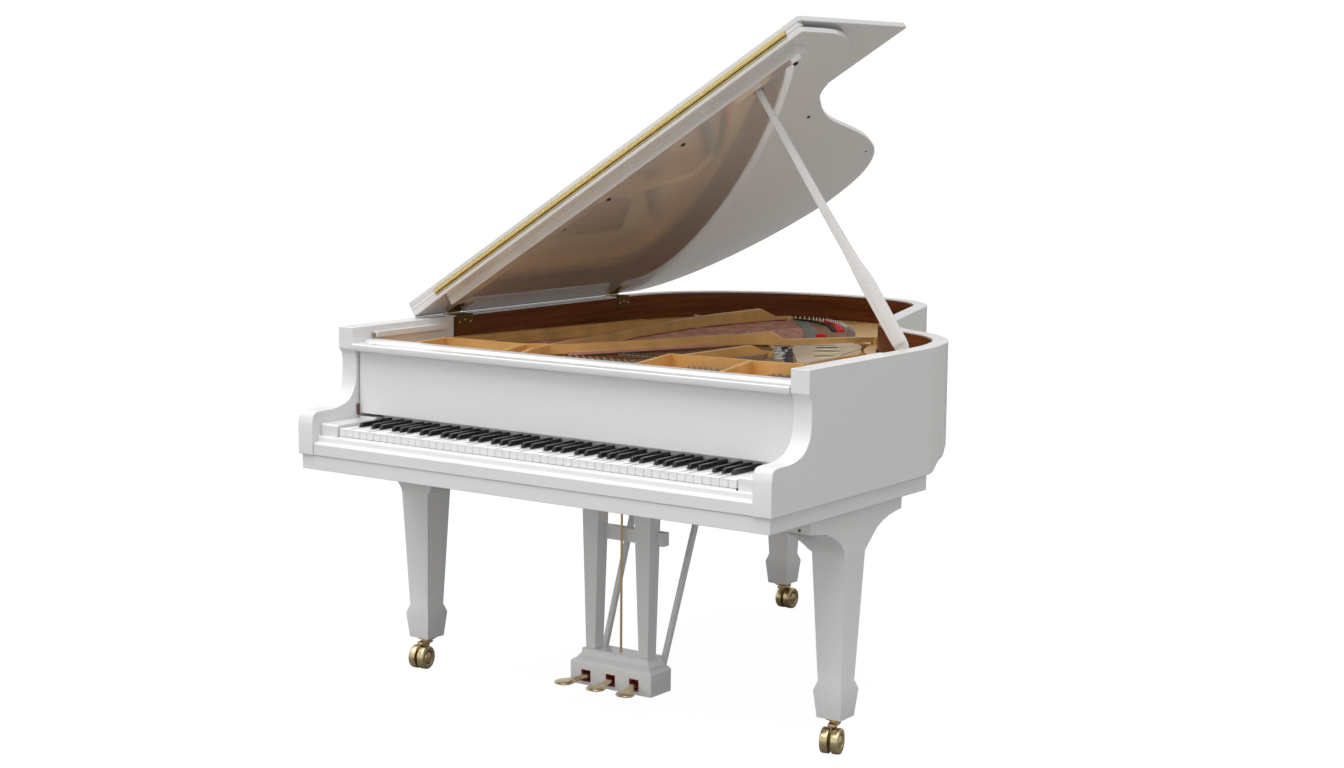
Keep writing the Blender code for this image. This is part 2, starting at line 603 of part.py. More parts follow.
SPINE = 0.0042                   # lid's spine edge from the hinge line
tail = [(x, y) for x, y in rim_offset(-LID_OVER, LID_FRONT, LID_FRONT) if x < -0.190]
edge = [(LID_WAIST[0][0], LID_FRONT)] + smooth_line(LID_WAIST, 2) + tail
lid_pts = []
for x, y in edge:
    p = (max(x - LID_AXIS_X, SPINE), y)
    if not lid_pts or math.hypot(p[0] - lid_pts[-1][0], p[1] - lid_pts[-1][1]) > 0.004:
        lid_pts.append(p)
batten = block(0.100, 1.396, 0.4950, 0.5380, -0.0205, 0.0050)
lid_object("lid_main", join(prism(lid_pts, 0.0, LID_T, "z"), batten), WHITE, smooth=25)

LID_RIGHT = HALF_W + LID_OVER - LID_AXIS_X
FLAP_N0 = LID_T + FLAP_GAP
CORNER = 0.006
flap_pts = [(SPINE, LID_FRONT), (LID_RIGHT, LID_FRONT), (LID_RIGHT, LID_FRONT + FLAP_DEPTH - CORNER)]
for k in range(1, 4):
    a = math.pi / 2 * k / 3
    flap_pts.append((LID_RIGHT - CORNER + CORNER * math.cos(a),
                     LID_FRONT + FLAP_DEPTH - CORNER + CORNER * math.sin(a)))
flap_pts.append((SPINE, LID_FRONT + FLAP_DEPTH))
lid_object("lid_flap", prism(flap_pts, FLAP_N0, FLAP_N0 + FLAP_T, "z"), WHITE,
           pivot_local=(0.0, FLAP_AXIS_Y, FLAP_AXIS_N))

leaf = block(0.107, 1.426, 0.4462, 0.4472, 0.0008, LID_T + 0.003)
barrel = cylinder((0.107, FLAP_AXIS_Y, FLAP_AXIS_N), (1.426, FLAP_AXIS_Y, FLAP_AXIS_N), 0.0040, 12)
lid_object("flap_hinge_rear_leaf", join(barrel, leaf), BRASS)
leaf = block(0.107, 1.426, 0.4462, 0.4472, FLAP_AXIS_N + 0.0046, FLAP_N0 + FLAP_T - 0.0008)
lid_object("flap_hinge_front_leaf", leaf, BRASS, pivot_local=(0.0, FLAP_AXIS_Y, FLAP_AXIS_N))

# butt hinges: the rim's leaf goes down the inner face and over the rim to a
# round knuckle on the hinge line, the other leaf lies under the lid
for nm, y0, y1 in (("front", 0.577, 0.645), ("rear", 1.328, 1.388)):
    face_x = -HALF_W + RIM_T + VENEER_T + GAP
    down = block(face_x, face_x + 0.0022, y0, y1, 0.926, 0.9619)
    over = block(LID_AXIS_X, face_x + 0.0022, y0, y1, 0.9613, 0.9621)
    knuckle = cylinder((LID_AXIS_X, y0, LID_AXIS_Z - 0.0005), (LID_AXIS_X, y1, LID_AXIS_Z - 0.0005), 0.0026, 12)
    knuckle = common(knuckle, block(-0.76, LID_AXIS_X + 0.01, y0 - 0.01, y1 + 0.01, 0.9613, 0.98))
    add("hinge_%s_rim_leaf" % nm, join(over, down, knuckle), BRASS)
    lid_object("hinge_%s_lid_leaf" % nm, block(0.0080, 0.064, y0, y1, -0.0020, -0.0003), BRASS)

# ===================================================================== prop
base, tip = Vector(PROP_BASE), Vector(PROP_TIP)
lean = Vector((tip.x - base.x, tip.y - base.y, 0.0))
e1 = lean.normalized()
e3 = Vector((0, 0, 1))
e2 = e3.cross(e1)                # the prop's hinge direction
rise = math.atan2(tip.z - base.z, lean.length)
u = e1 * math.cos(rise) + e3 * math.sin(rise)
w = e3 * math.cos(rise) - e1 * math.sin(rise)
lid_n = Vector((-math.sin(math.radians(LID_ANGLE)), 0.0, math.cos(math.radians(LID_ANGLE))))
hinge_pt = Vector((LID_AXIS_X, 0.0, LID_AXIS_Z))


def reach(sw, se):
    """Distance along the prop at which a line at (sw, se) off its middle
    meets the lid's underside, less a small clearance."""
    start = base + w * sw + e2 * se
    return ((hinge_pt - start).dot(lid_n) - 0.0006) / u.dot(lid_n)


def prop_ring(t, w0, w1, half, flat=False):
    ring = []
    for sw, se in ((w0, -half), (w1, -half), (w1, half), (w0, half)):
        d = reach(sw, se) if flat else t
        ring.append(tuple(base + u * d + w * sw + e2 * se))
    return ring


rings = [prop_ring(-0.0098, -0.0105, 0.0028, 0.0055), prop_ring(-0.0053, -0.0160, 0.0080, 0.0055),
         prop_ring(0.0, -0.0176, 0.0110, 0.0055), prop_ring(0.0100, -0.0178, 0.0160, 0.0055),
         prop_ring(0.0180, -0.0178, 0.0176, 0.0055),
         prop_ring(0.026, -0.0180, 0.0178, 0.0085), prop_ring(0.040, -0.0184, 0.0184, 0.0085),
         prop_ring(0.187, -0.0174, 0.0212, 0.0085), prop_ring(0.229, -0.0168, 0.0170, 0.0085),
         prop_ring(0.262, -0.0136, 0.0136, 0.0083), prop_ring(0.305, -0.0119, 0.0119, 0.0080),
         prop_ring(0.580, -0.0093, 0.0093, 0.0080), prop_ring(0.0, -0.0080, 0.0080, 0.0080, True)]
stick = loft(rings)
bore = cylinder(base - e2 * 0.02, base + e2 * 0.02, 0.0043, 12)
prop = cut(stick, bore)
add("lid_prop", prop, WHITE, pivot=PROP_BASE)

plate_x = HALF_W - RIM_T - VENEER_T - 0.0022
foot_block = prism([(0.640, 0.664), (plate_x, 0.664), (plate_x, 0.714), (0.640, 0.714)], 0.914, 0.9262, "z")
ears = []
for s in (-1, 1):
    c = base + e2 * s * 0.0085
    a = [(base.x, base.y)]
    c0, c1 = base + e2 * s * 0.0062, base + e2 * s * 0.0100
    quad = [(c0 - e1 * 0.008), (c1 - e1 * 0.008), (c1 + e1 * 0.008), (c0 + e1 * 0.008)]
    ears.append(prism([(q.x, q.y) for q in quad], 0.920, 0.9560, "z"))
pin = cylinder(base - e2 * 0.0098, base + e2 * 0.0098, 0.0038, 12)
add("prop_bracket", join(foot_block, ears[0], ears[1], pin), BRASS)

# ===================================================================== legs
def leg_shaft(cx, cy, top):
    def sq(h, z):
        return rect_ring(cx - h, cx + h, cy - h, cy + h, z)
    return loft([sq(0.0330, 0.0850), sq(0.0400, 0.1530), sq(0.0322, 0.1750),
                 sq(0.0465, 0.4950), sq(0.0465, top)])


for side, nm in ((-1, "leg_front_left"), (1, "leg_front_right")):
    top = BED_BOTTOM - GAP
    front = smooth_line([(0.279, 0.560), (0.321, 0.543), (0.348, 0.525), (0.363, 0.506), (0.368, 0.494)], 2)
    back = smooth_line([(0.463, 0.494), (0.489, 0.516), (0.521, 0.542), (0.576, 0.562), (0.636, 0.570)], 2)
    side_view = [(0.210, top), (0.210, 0.570)] + front + back + [(0.637, top)]
    a = prism(side_view, min(side * 0.50, side * 0.7025), max(side * 0.50, side * 0.7025), "x")
    flare = [(side * 0.7100, top + 0.01), (side * 0.7100, 0.480), (side * 0.609, 0.480),
             (side * 0.609, 0.494), (side * 0.601, 0.498), (side * 0.575, 0.529),
             (side * 0.545, 0.566), (side * 0.543, top + 0.01)]
    b = prism(flare, 0.10, 0.75, "y")
    bracket = common(a, b)
    add(nm, join(leg_shaft(side * LEG_X, LEG_Y, top - 0.002), bracket), WHITE)
add("leg_rear", join(leg_shaft(REAR_LEG[0], REAR_LEG[1], 0.690),
                     block(REAR_LEG[0] - 0.070, REAR_LEG[0] + 0.070, REAR_LEG[1] - 0.070,
                           REAR_LEG[1] + 0.070, 0.682, 0.7026)), WHITE)

# ================================================================== casters
for cx, cy, nm, turn in ((-LEG_X, LEG_Y, "front_left", -172.0), (LEG_X, LEG_Y, "front_right", -165.0),
                         (REAR_LEG[0], REAR_LEG[1], "rear", 0.0)):
    et = Vector((-math.sin(math.radians(turn)), math.cos(math.radians(turn)), 0.0))
    ea = Vector((abs(et.y), -et.x if et.y > 0 else et.x, 0.0))
    swivel = Vector((cx, cy, 0.0))

    def at(t, a, z):
        q = swivel + et * t + ea * a
        return (q.x, q.y, z)

    plate_c = turned((cx, cy, 0.0790), (0, 0, 1), [(0.0, 0.0255), (0.0057, 0.0255)], 20)
    neck = turned((cx, cy, 0.0700), (0, 0, 1), [(0.0, 0.0130), (0.0100, 0.0130)], 16)
    horn = loft([[at(-0.014, -0.012, z), at(-0.014, 0.012, z), at(CASTER_TRAIL + 0.012, 0.010, z),
                  at(CASTER_TRAIL + 0.012, -0.010, z)] for z in (0.0660, 0.0740)])
    side_line = [(-0.012, 0.0695), (-0.010, 0.0560), (CASTER_TRAIL - 0.012, 0.0280),
                 (CASTER_TRAIL - 0.006, 0.0210), (CASTER_TRAIL + 0.006, 0.0210),
                 (CASTER_TRAIL + 0.0116, 0.0300), (CASTER_TRAIL + 0.0116, 0.0695)]
    web = loft([[at(t, a, z) for t, z in side_line] for a in (-0.0023, 0.0023)])
    hole = cylinder(at(CASTER_TRAIL, -0.02, CASTER_R), at(CASTER_TRAIL, 0.02, CASTER_R), 0.0064, 16)
    fork = cut(join(plate_c, neck, horn, web), hole)
    add("caster_fork_" + nm, fork, BRASS, pivot=(cx, cy, 0.0847), smooth=35)
    prof = [(-0.0262, 0.0280), (-0.0232, CASTER_R), (-0.0040, CASTER_R), (-0.0030, 0.0300), (-0.0030, 0.0060),
            (0.0030, 0.0060), (0.0030, 0.0300), (0.0040, CASTER_R), (0.0232, CASTER_R), (0.0262, 0.0280)]
    wheel = turned(at(CASTER_TRAIL, 0.0, CASTER_R), (ea.x, ea.y, 0.0), prof, 24)
    add("caster_wheel_" + nm, wheel, BRASS, pivot=at(CASTER_TRAIL, 0.0, CASTER_R), smooth=35)

# ===================================================================== lyre
pillars = []
for s in (-1, 1):
    x = sorted((s * 0.070, s * 0.099))
    xt = sorted((s * 0.058, s * 0.108))
    pillars.append(loft([rect_ring(x[0], x[1], 0.411, 0.447, 0.1403),
                         rect_ring(xt[0], xt[1], 0.4050, 0.4495, 0.5000),
                         rect_ring(xt[0], xt[1], 0.4050, 0.4495, BED_BOTTOM - GAP)]))
cross = block(-0.112, 0.124, 0.4400, 0.4655, 0.4300, 0.4650)
lyre = join(pillars[0], pillars[1], cross)
lyre = cut(lyre, *[cylinder((PEDAL_X[k], 0.4515, 0.10), (PEDAL_X[k], 0.4515, 0.70), 0.0050, 12) for k in (0, 2)])
add("lyre_frame", lyre, WHITE)

lbox = loft([rect_ring(-0.129, 0.129, 0.384, 0.473, 0.048), rect_ring(-0.129, 0.129, 0.384, 0.473, 0.106),
             rect_ring(-0.126, 0.126, 0.386, 0.472, 0.110), rect_ring(-0.116, 0.116, 0.394, 0.468, 0.116),
             rect_ring(-0.108, 0.108, 0.401, 0.465, 0.126), rect_ring(-0.106, 0.106, 0.403, 0.464, 0.130),
             rect_ring(-0.106, 0.106, 0.403, 0.464, 0.140)])
cuts = []
for k in range(3):
    cuts.append(block(PEDAL_X[k] - 0.0150, PEDAL_X[k] + 0.0150, 0.370, 0.4660, 0.0570, 0.0885))
    cuts.append(cylinder((PEDAL_X[k], ROD_Y[k], 0.080), (PEDAL_X[k], ROD_Y[k], 0.150), 0.0050, 12))
cuts.append(cylinder((-0.105, PEDAL_AXIS_Y, PEDAL_AXIS_Z), (0.105, PEDAL_AXIS_Y, PEDAL_AXIS_Z), 0.0034, 12))
add("lyre_box", cut(lbox, *cuts), WHITE)

PEDAL_NAMES = ("pedal_left", "pedal_middle", "pedal_right")
ROD_NAMES = ("pedal_rod_left", "pedal_rod_middle", "pedal_rod_right")
TIP_X = (-0.105, -0.002, 0.092)
for k in range(3):
    x, bend = PEDAL_X[k], TIP_X[k] - PEDAL_X[k]
    back = ROD_Y[k] + 0.0065
    zc = PEDAL_AXIS_Z
    rows = [(back, 0.0, 0.0085, -0.005, 0.003), (0.400, 0.0, 0.0090, -0.005, 0.005),
            (0.378, 0.0, 0.0095, -0.006, 0.004), (0.362, 0.35, 0.0110, -0.009, 0.000),
            (0.348, 0.70, 0.0170, -0.0115, -0.0035), (0.334, 0.95, 0.0245, -0.0125, -0.0045),
            (0.322, 1.00, 0.0265, -0.0130, -0.0055), (0.311, 1.00, 0.0215, -0.0130, -0.0065),
            (0.305, 1.00, 0.0120, -0.0125, -0.0075)]
    pedal = loft([[(x + b * bend - h, y, zc + z0), (x + b * bend + h, y, zc + z0),
                   (x + b * bend + h, y, zc + z1), (x + b * bend - h, y, zc + z1)] for y, b, h, z0, z1 in rows])
    axle = cylinder((x - 0.0210, PEDAL_AXIS_Y, zc), (x + 0.0210, PEDAL_AXIS_Y, zc), 0.0030, 12)
    add(PEDAL_NAMES[k], join(pedal, axle), BRASS, pivot=(x, PEDAL_AXIS_Y, zc))
    rod = cylinder((x, ROD_Y[k], zc + 0.0036), (x, ROD_Y[k], 0.6220), ROD_R, 12)
    add(ROD_NAMES[k], rod, BRASS, pivot=(x, ROD_Y[k], zc + 0.0036), smooth=35)

cleat = block(-0.125, 0.125, 0.650, 0.682, 0.5850, BED_BOTTOM - GAP)
arms = []
for s in (-1, 1):
    a0, a1 = Vector((s * 0.096, 0.4735, 0.100)), Vector((s * 0.104, 0.660, 0.592))
    ring = []
    for p in (a0, a1):
        ring.append([(p.x - 0.007, p.y, p.z), (p.x + 0.007, p.y, p.z),
                     (p.x + 0.007, p.y + 0.014, p.z), (p.x - 0.007, p.y + 0.014, p.z)])
    arms.append(loft(ring))
add("lyre_braces", join(cleat, arms[0], arms[1]), WHITE)
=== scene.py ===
"""White grand piano with its lid up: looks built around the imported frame.

Metres, +Z up. The working numbers in the pieces below are measured from the
middle of the keyboard (x) and the front of the arms (y), as in the part's
source; W() turns them into the frame's own numbers.
"""
import math
import random

import bpy
import numpy as np
from mathutils import Matrix, Vector


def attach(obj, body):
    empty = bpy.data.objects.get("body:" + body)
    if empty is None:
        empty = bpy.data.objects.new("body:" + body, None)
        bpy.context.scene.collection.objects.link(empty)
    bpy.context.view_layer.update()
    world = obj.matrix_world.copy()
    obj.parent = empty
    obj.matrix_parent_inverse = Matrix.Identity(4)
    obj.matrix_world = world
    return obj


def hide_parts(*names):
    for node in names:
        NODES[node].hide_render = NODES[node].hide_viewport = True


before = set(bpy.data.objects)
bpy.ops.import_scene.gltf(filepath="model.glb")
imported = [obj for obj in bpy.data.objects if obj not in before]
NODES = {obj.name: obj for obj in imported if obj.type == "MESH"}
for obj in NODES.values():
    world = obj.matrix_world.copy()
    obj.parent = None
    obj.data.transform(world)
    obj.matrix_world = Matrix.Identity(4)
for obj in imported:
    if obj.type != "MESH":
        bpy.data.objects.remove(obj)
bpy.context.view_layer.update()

XC, YC = -0.0098, 0.9362
HALF_W, ARM_T, RIM_T, VENEER_T, ARM_END = 0.727, 0.051, 0.040, 0.0036, 0.557
SIDE_STRAIGHT, TAIL_SPINE = 0.684, 1.392
RIM_BENDS = [(0.169, 17.5), (0.273, 49.7), (0.294, -48.6), (0.445, -1.1),
             (0.257, 58.6), (0.137, 11.7), (0.300, 24.8), (0.238, 22.7),
             (0.222, 32.5), (0.098, 12.2)]
LID_ANGLE = math.radians(31.6)
LID_X, LID_Z = -0.7285, 0.9625
CL, SL = math.cos(LID_ANGLE), math.sin(LID_ANGLE)


def W(x, y, z):
    return (x - XC, y - YC, z)


def L(s, y, n):
    """A point of the lid: distance from its hinge line, y, height over its underside."""
    return (LID_X + s * CL - n * SL - XC, y - YC, LID_Z + s * SL + n * CL)


# ================================================================ materials
MATS = {}


def principled(name, colour, rough, metal=0.0, coat=0.0, coat_rough=0.05, sheen=0.0, ior=1.5, specular=0.5):
    m = bpy.data.materials.new(name)
    m.use_nodes = True
    nt = m.node_tree
    p = nt.nodes["Principled BSDF"]
    p.inputs["Base Color"].default_value = (*colour, 1.0)
    p.inputs["Roughness"].default_value = rough
    p.inputs["Metallic"].default_value = metal
    p.inputs["Coat Weight"].default_value = coat
    p.inputs["Coat Roughness"].default_value = coat_rough
    p.inputs["Sheen Weight"].default_value = sheen
    p.inputs["IOR"].default_value = ior
    p.inputs["Specular IOR Level"].default_value = specular
    MATS[name] = m
    return m, nt, p


def coords(nt, scale=(1, 1, 1), rotation=(0, 0, 0), kind="Object"):
    c = nt.nodes.new("ShaderNodeTexCoord")
    m = nt.nodes.new("ShaderNodeMapping")
    m.inputs["Scale"].default_value = scale
    m.inputs["Rotation"].default_value = rotation
    nt.links.new(c.outputs[kind], m.inputs["Vector"])
    return m.outputs["Vector"]


def noise(nt, vec, scale, detail=3.0, rough=0.5, distortion=0.0):
    n = nt.nodes.new("ShaderNodeTexNoise")
    n.inputs["Scale"].default_value = scale
    n.inputs["Detail"].default_value = detail
    n.inputs["Roughness"].default_value = rough
    n.inputs["Distortion"].default_value = distortion
    nt.links.new(vec, n.inputs["Vector"])
    return n.outputs["Fac"]


def ramp(nt, fac, stops):
    r = nt.nodes.new("ShaderNodeValToRGB")
    while len(r.color_ramp.elements) < len(stops):
        r.color_ramp.elements.new(0.5)
    for e, (at, col) in zip(r.color_ramp.elements, stops):
        e.position = at
        e.color = (*col, 1.0)
    nt.links.new(fac, r.inputs["Fac"])
    return r.outputs["Color"]


def spread(nt, fac, lo, hi, a=0.3, b=0.7):
    r = nt.nodes.new("ShaderNodeMapRange")
    r.inputs["From Min"].default_value = a
    r.inputs["From Max"].default_value = b
    r.inputs["To Min"].default_value = lo
    r.inputs["To Max"].default_value = hi
    nt.links.new(fac, r.inputs["Value"])
    return r.outputs["Result"]


def mix(nt, fac, a, b, kind="MIX"):
    m = nt.nodes.new("ShaderNodeMix")
    m.data_type = "RGBA"
    m.blend_type = kind
    m.clamp_result = False
    for key, val in (("Factor", fac), ("A", a), ("B", b)):
        sockets = [s for s in m.inputs if s.name == key and (s.type == "RGBA" if key != "Factor" else s.type == "VALUE")]
        s = sockets[0]
        if hasattr(val, "is_linked") or hasattr(val, "links"):
            nt.links.new(val, s)
        elif key == "Factor":
            s.default_value = val
        else:
            s.default_value = (*val, 1.0)
    return [s for s in m.outputs if s.type == "RGBA"][0]


def bump(nt, p, height, strength, distance, normal=None):
    b = nt.nodes.new("ShaderNodeBump")
    b.inputs["Strength"].default_value = strength
    b.inputs["Distance"].default_value = distance
    nt.links.new(height, b.inputs["Height"])
    if normal is not None:
        nt.links.new(normal, b.inputs["Normal"])
    nt.links.new(b.outputs["Normal"], p.inputs["Normal"])
    return b.outputs["Normal"]


def lacquer(name, colour, rough_lo, rough_hi, coat, coat_rough=0.03, waves=1.0, ior=1.5):
    """Polished polyester lacquer: faint levelling waves, fine haze and dust."""
    m, nt, p = principled(name, colour, rough_lo, coat=coat, coat_rough=coat_rough, ior=ior)
    v = coords(nt)
    cloud = noise(nt, v, 3.0, 3.0)
    tone = ramp(nt, cloud, [(0.25, tuple(c * 0.985 for c in colour)), (0.75, tuple(min(1, c * 1.01) for c in colour))])
    nt.links.new(tone, p.inputs["Base Color"])
    nt.links.new(spread(nt, noise(nt, v, 14.0, 4.0), rough_lo, rough_hi), p.inputs["Roughness"])
    w1 = bump(nt, p, noise(nt, v, 9.0, 1.0), 0.05 * waves, 0.0035)
    bump(nt, p, noise(nt, v, 420.0, 2.0), 0.03 * waves, 0.0004, w1)
    return m


lacquer("white_lacquer", (0.80, 0.80, 0.805), 0.16, 0.26, 0.55)
lacquer("lid_lacquer", (0.76, 0.755, 0.75), 0.035, 0.05, 1.0, 0.012, 0.12, 1.6)


def wood(name, dark, mid, light, rough, coat, across=60.0, along=2.2, pores=True, kind="UV", bumps=0.12, specular=0.5):
    """Straight-grained wood; the grain follows the first texture axis."""
    m, nt, p = principled(name, mid, rough, coat=coat, coat_rough=0.12, specular=specular)
    v = coords(nt, (along, across, across), kind=kind)
    broad = noise(nt, v, 1.0, 4.0, 0.55, 0.6)
    v2 = coords(nt, (along * 3.0, across * 7.0, across * 7.0), kind=kind)
    fine = noise(nt, v2, 1.0, 3.0, 0.6)
    c1 = ramp(nt, broad, [(0.28, dark), (0.5, mid), (0.74, light)])
    c2 = ramp(nt, fine, [(0.30, tuple(c * 0.55 for c in dark)), (0.62, light)])
    col = mix(nt, 0.38, c1, c2)
    height = fine
    if pores:
        v3 = coords(nt, (along * 14.0, across * 22.0, across * 22.0), kind=kind)
        pore = noise(nt, v3, 1.0, 1.0)
        dots = ramp(nt, pore, [(0.30, (0.25, 0.25, 0.25)), (0.40, (1, 1, 1))])
        col = mix(nt, 0.75, col, dots, "MULTIPLY")
        height = pore
    nt.links.new(col, p.inputs["Base Color"])
    nt.links.new(spread(nt, broad, rough - 0.05, rough + 0.08), p.inputs["Roughness"])
    bump(nt, p, height, bumps, 0.0004)
    return m


wood("mahogany_veneer", (0.088, 0.0235, 0.0070), (0.170, 0.0490, 0.0140), (0.255, 0.086, 0.027), 0.38, 0.03,
     across=42.0, along=1.6, specular=0.12)
wood("spruce_board", (0.34, 0.20, 0.085), (0.46, 0.29, 0.135), (0.56, 0.38, 0.20), 0.42, 0.25, across=110.0,
     along=1.4, pores=False, kind="Object")
wood("beech_block", (0.28, 0.17, 0.09), (0.42, 0.27, 0.15), (0.50, 0.34, 0.20), 0.55, 0.0, across=50.0, along=6.0,
     kind="Object")


def cast(name, colour, rough, metal=0.55):
    """Painted cast iron: orange-peel of the casting under metallic paint."""
    m, nt, p = principled(name, colour, rough, metal=metal, coat=0.15, coat_rough=0.2)
    v = coords(nt)
    blotch = noise(nt, v, 11.0, 5.0, 0.6)
    tone = ramp(nt, blotch, [(0.25, tuple(c * 0.82 for c in colour)), (0.75, tuple(min(1, c * 1.12) for c in colour))])
    nt.links.new(tone, p.inputs["Base Color"])
    nt.links.new(spread(nt, blotch, rough - 0.07, rough + 0.10), p.inputs["Roughness"])
    b1 = bump(nt, p, noise(nt, v, 260.0, 3.0), 0.30, 0.0008)
    bump(nt, p, noise(nt, v, 40.0, 2.0), 0.12, 0.002, b1)
    return m


cast("plate_paint", (0.77, 0.465, 0.170), 0.40, 0.35)
# pale gold for the plate's edges and slot lips: painted highlight
cast("plate_edge_painted_highlight", (0.96, 0.82, 0.54), 0.32, 0.25)
cast("panel_paint", (0.70, 0.57, 0.40), 0.42, 0.25)
# dark brown for the ribs along the cheek's edges: painted shade
cast("groove_painted_shade", (0.22, 0.13, 0.05), 0.50, 0.1)


def metal(name, colour, rough, brushed=0.0, tarnish=0.12):
    m, nt, p = principled(name, colour, rough, metal=1.0)
    v = coords(nt)
    spots = noise(nt, v, 60.0, 5.0, 0.65)
    tone = ramp(nt, spots, [(0.3, tuple(c * (1 - tarnish) for c in colour)), (0.7, colour)])
    nt.links.new(tone, p.inputs["Base Color"])
    nt.links.new(spread(nt, spots, rough + 0.09, rough), p.inputs["Roughness"])
    bump(nt, p, noise(nt, v, 900.0, 2.0), 0.05 + brushed, 0.0002)
    return m


metal("brass", (0.74, 0.56, 0.29), 0.20)
metal("brass_dull", (0.50, 0.40, 0.25), 0.30, tarnish=0.3)
metal("brass_caster", (0.80, 0.65, 0.38), 0.25, tarnish=0.3)
metal("hinge_gold", (0.90, 0.74, 0.34), 0.30, tarnish=0.10)
# darker copy of hinge_gold for the long hinge's rear leaf and screws: painted shade
metal("hinge_gold_painted_shade", (0.62, 0.52, 0.24), 0.34, tarnish=0.2)
# brass darkened for the butt hinges' rim leaves: painted shade under the lid
metal("hinge_leaf_painted_shade", (0.23, 0.145, 0.045), 0.36, tarnish=0.3)
metal("tuning_steel", (0.34, 0.27, 0.22), 0.34, tarnish=0.35)
metal("brass_pedal", (0.82, 0.68, 0.43), 0.24)
metal("steel", (0.62, 0.61, 0.60), 0.24)
metal("string_wire", (0.55, 0.42, 0.33), 0.30)
metal("pin_head", (0.80, 0.78, 0.75), 0.26)
metal("blued_pin", (0.23, 0.21, 0.21), 0.30)
metal("dark_screw", (0.20, 0.17, 0.12), 0.35)


def winding():
    """Copper wound round the bass strings: fine ridges across the wire."""
    m, nt, p = principled("copper_winding", (0.60, 0.27, 0.19), 0.36, metal=0.85)
    v = coords(nt)
    spots = noise(nt, v, 30.0, 4.0)
    tone = ramp(nt, spots, [(0.3, (0.42, 0.17, 0.12)), (0.7, (0.70, 0.36, 0.27))])
    nt.links.new(tone, p.inputs["Base Color"])
    w = nt.nodes.new("ShaderNodeTexWave")
    w.bands_direction = "Y"
    w.inputs["Scale"].default_value = 300.0
    nt.links.new(v, w.inputs["Vector"])
    bump(nt, p, w.outputs["Fac"], 0.5, 0.0004)


winding()


def felt(name, colour, sheen=0.6):
    m, nt, p = principled(name, colour, 0.95, sheen=sheen, specular=0.2)
    v = coords(nt)
    f = noise(nt, v, 700.0, 4.0, 0.7)
    tone = ramp(nt, f, [(0.3, tuple(c * 0.6 for c in colour)), (0.7, tuple(min(1, c * 1.25) for c in colour))])
    nt.links.new(tone, p.inputs["Base Color"])
    bump(nt, p, f, 0.7, 0.001)
    return m


felt("red_felt", (0.62, 0.045, 0.040))
felt("slot_shadow", (0.022, 0.015, 0.010), 0.0)
felt("scarlet_felt", (0.80, 0.020, 0.030), 0.05)
felt("crimson_felt", (0.32, 0.022, 0.018), 0.2)
felt("wool_felt", (0.62, 0.60, 0.55))
felt("brown_felt", (0.16, 0.055, 0.035))
felt("grey_felt", (0.30, 0.34, 0.33))


def plastic(name, colour, rough, coat, mottled=0.02, grain=0.0):
    m, nt, p = principled(name, colour, rough, coat=coat, coat_rough=0.05)
    v = coords(nt)
    f = noise(nt, v, 25.0, 3.0)
    tone = ramp(nt, f, [(0.3, tuple(c * (1 - mottled) for c in colour)), (0.7, tuple(min(1, c * (1 + mottled)) for c in colour))])
    nt.links.new(tone, p.inputs["Base Color"])
    nt.links.new(spread(nt, f, rough - 0.02, rough + 0.05), p.inputs["Roughness"])
    g = coords(nt, (900.0, 26.0, 900.0)) if grain else v
    bump(nt, p, noise(nt, g, 1.0 if grain else 300.0, 2.0), 0.04 + grain, 0.0003)
    return m


plastic("key_ivory", (0.86, 0.865, 0.87), 0.16, 0.4)
plastic("key_ebony", (0.012, 0.012, 0.013), 0.22, 0.3, 0.25, grain=0.10)
plastic("bridge_stain", (0.055, 0.125, 0.125), 0.68, 0.0, 0.25)
plastic("bridge_rim", (0.30, 0.31, 0.36), 0.40, 0.1, 0.10)
plastic("dark_band_matte", (0.030, 0.018, 0.014), 0.95, 0.0, 0.35)
plastic("block_pale", (0.72, 0.75, 0.71), 0.45, 0.0, 0.08)
plastic("block_dark", (0.10, 0.10, 0.12), 0.50, 0.0, 0.15)
plastic("bar_pink", (0.60, 0.30, 0.20), 0.40, 0.1, 0.10)
# mid grey for the white lips under the lid: painted shade
plastic("lip_painted_shade", (0.28, 0.275, 0.27), 0.60, 0.0, 0.05)
plastic("rubber_white", (0.80, 0.79, 0.76), 0.45, 0.0, 0.05)
plastic("rubber_black", (0.02, 0.02, 0.02), 0.5, 0.0, 0.2)
wood("key_wood", (0.42, 0.29, 0.16), (0.55, 0.40, 0.24), (0.64, 0.48, 0.30), 0.6, 0.0, across=130.0, along=10.0,
     kind="Object", bumps=0.06)
wood("bridge_wood", (0.30, 0.20, 0.11), (0.44, 0.31, 0.18), (0.52, 0.38, 0.24), 0.45, 0.1, across=60.0, along=8.0,
     kind="Object", bumps=0.06)


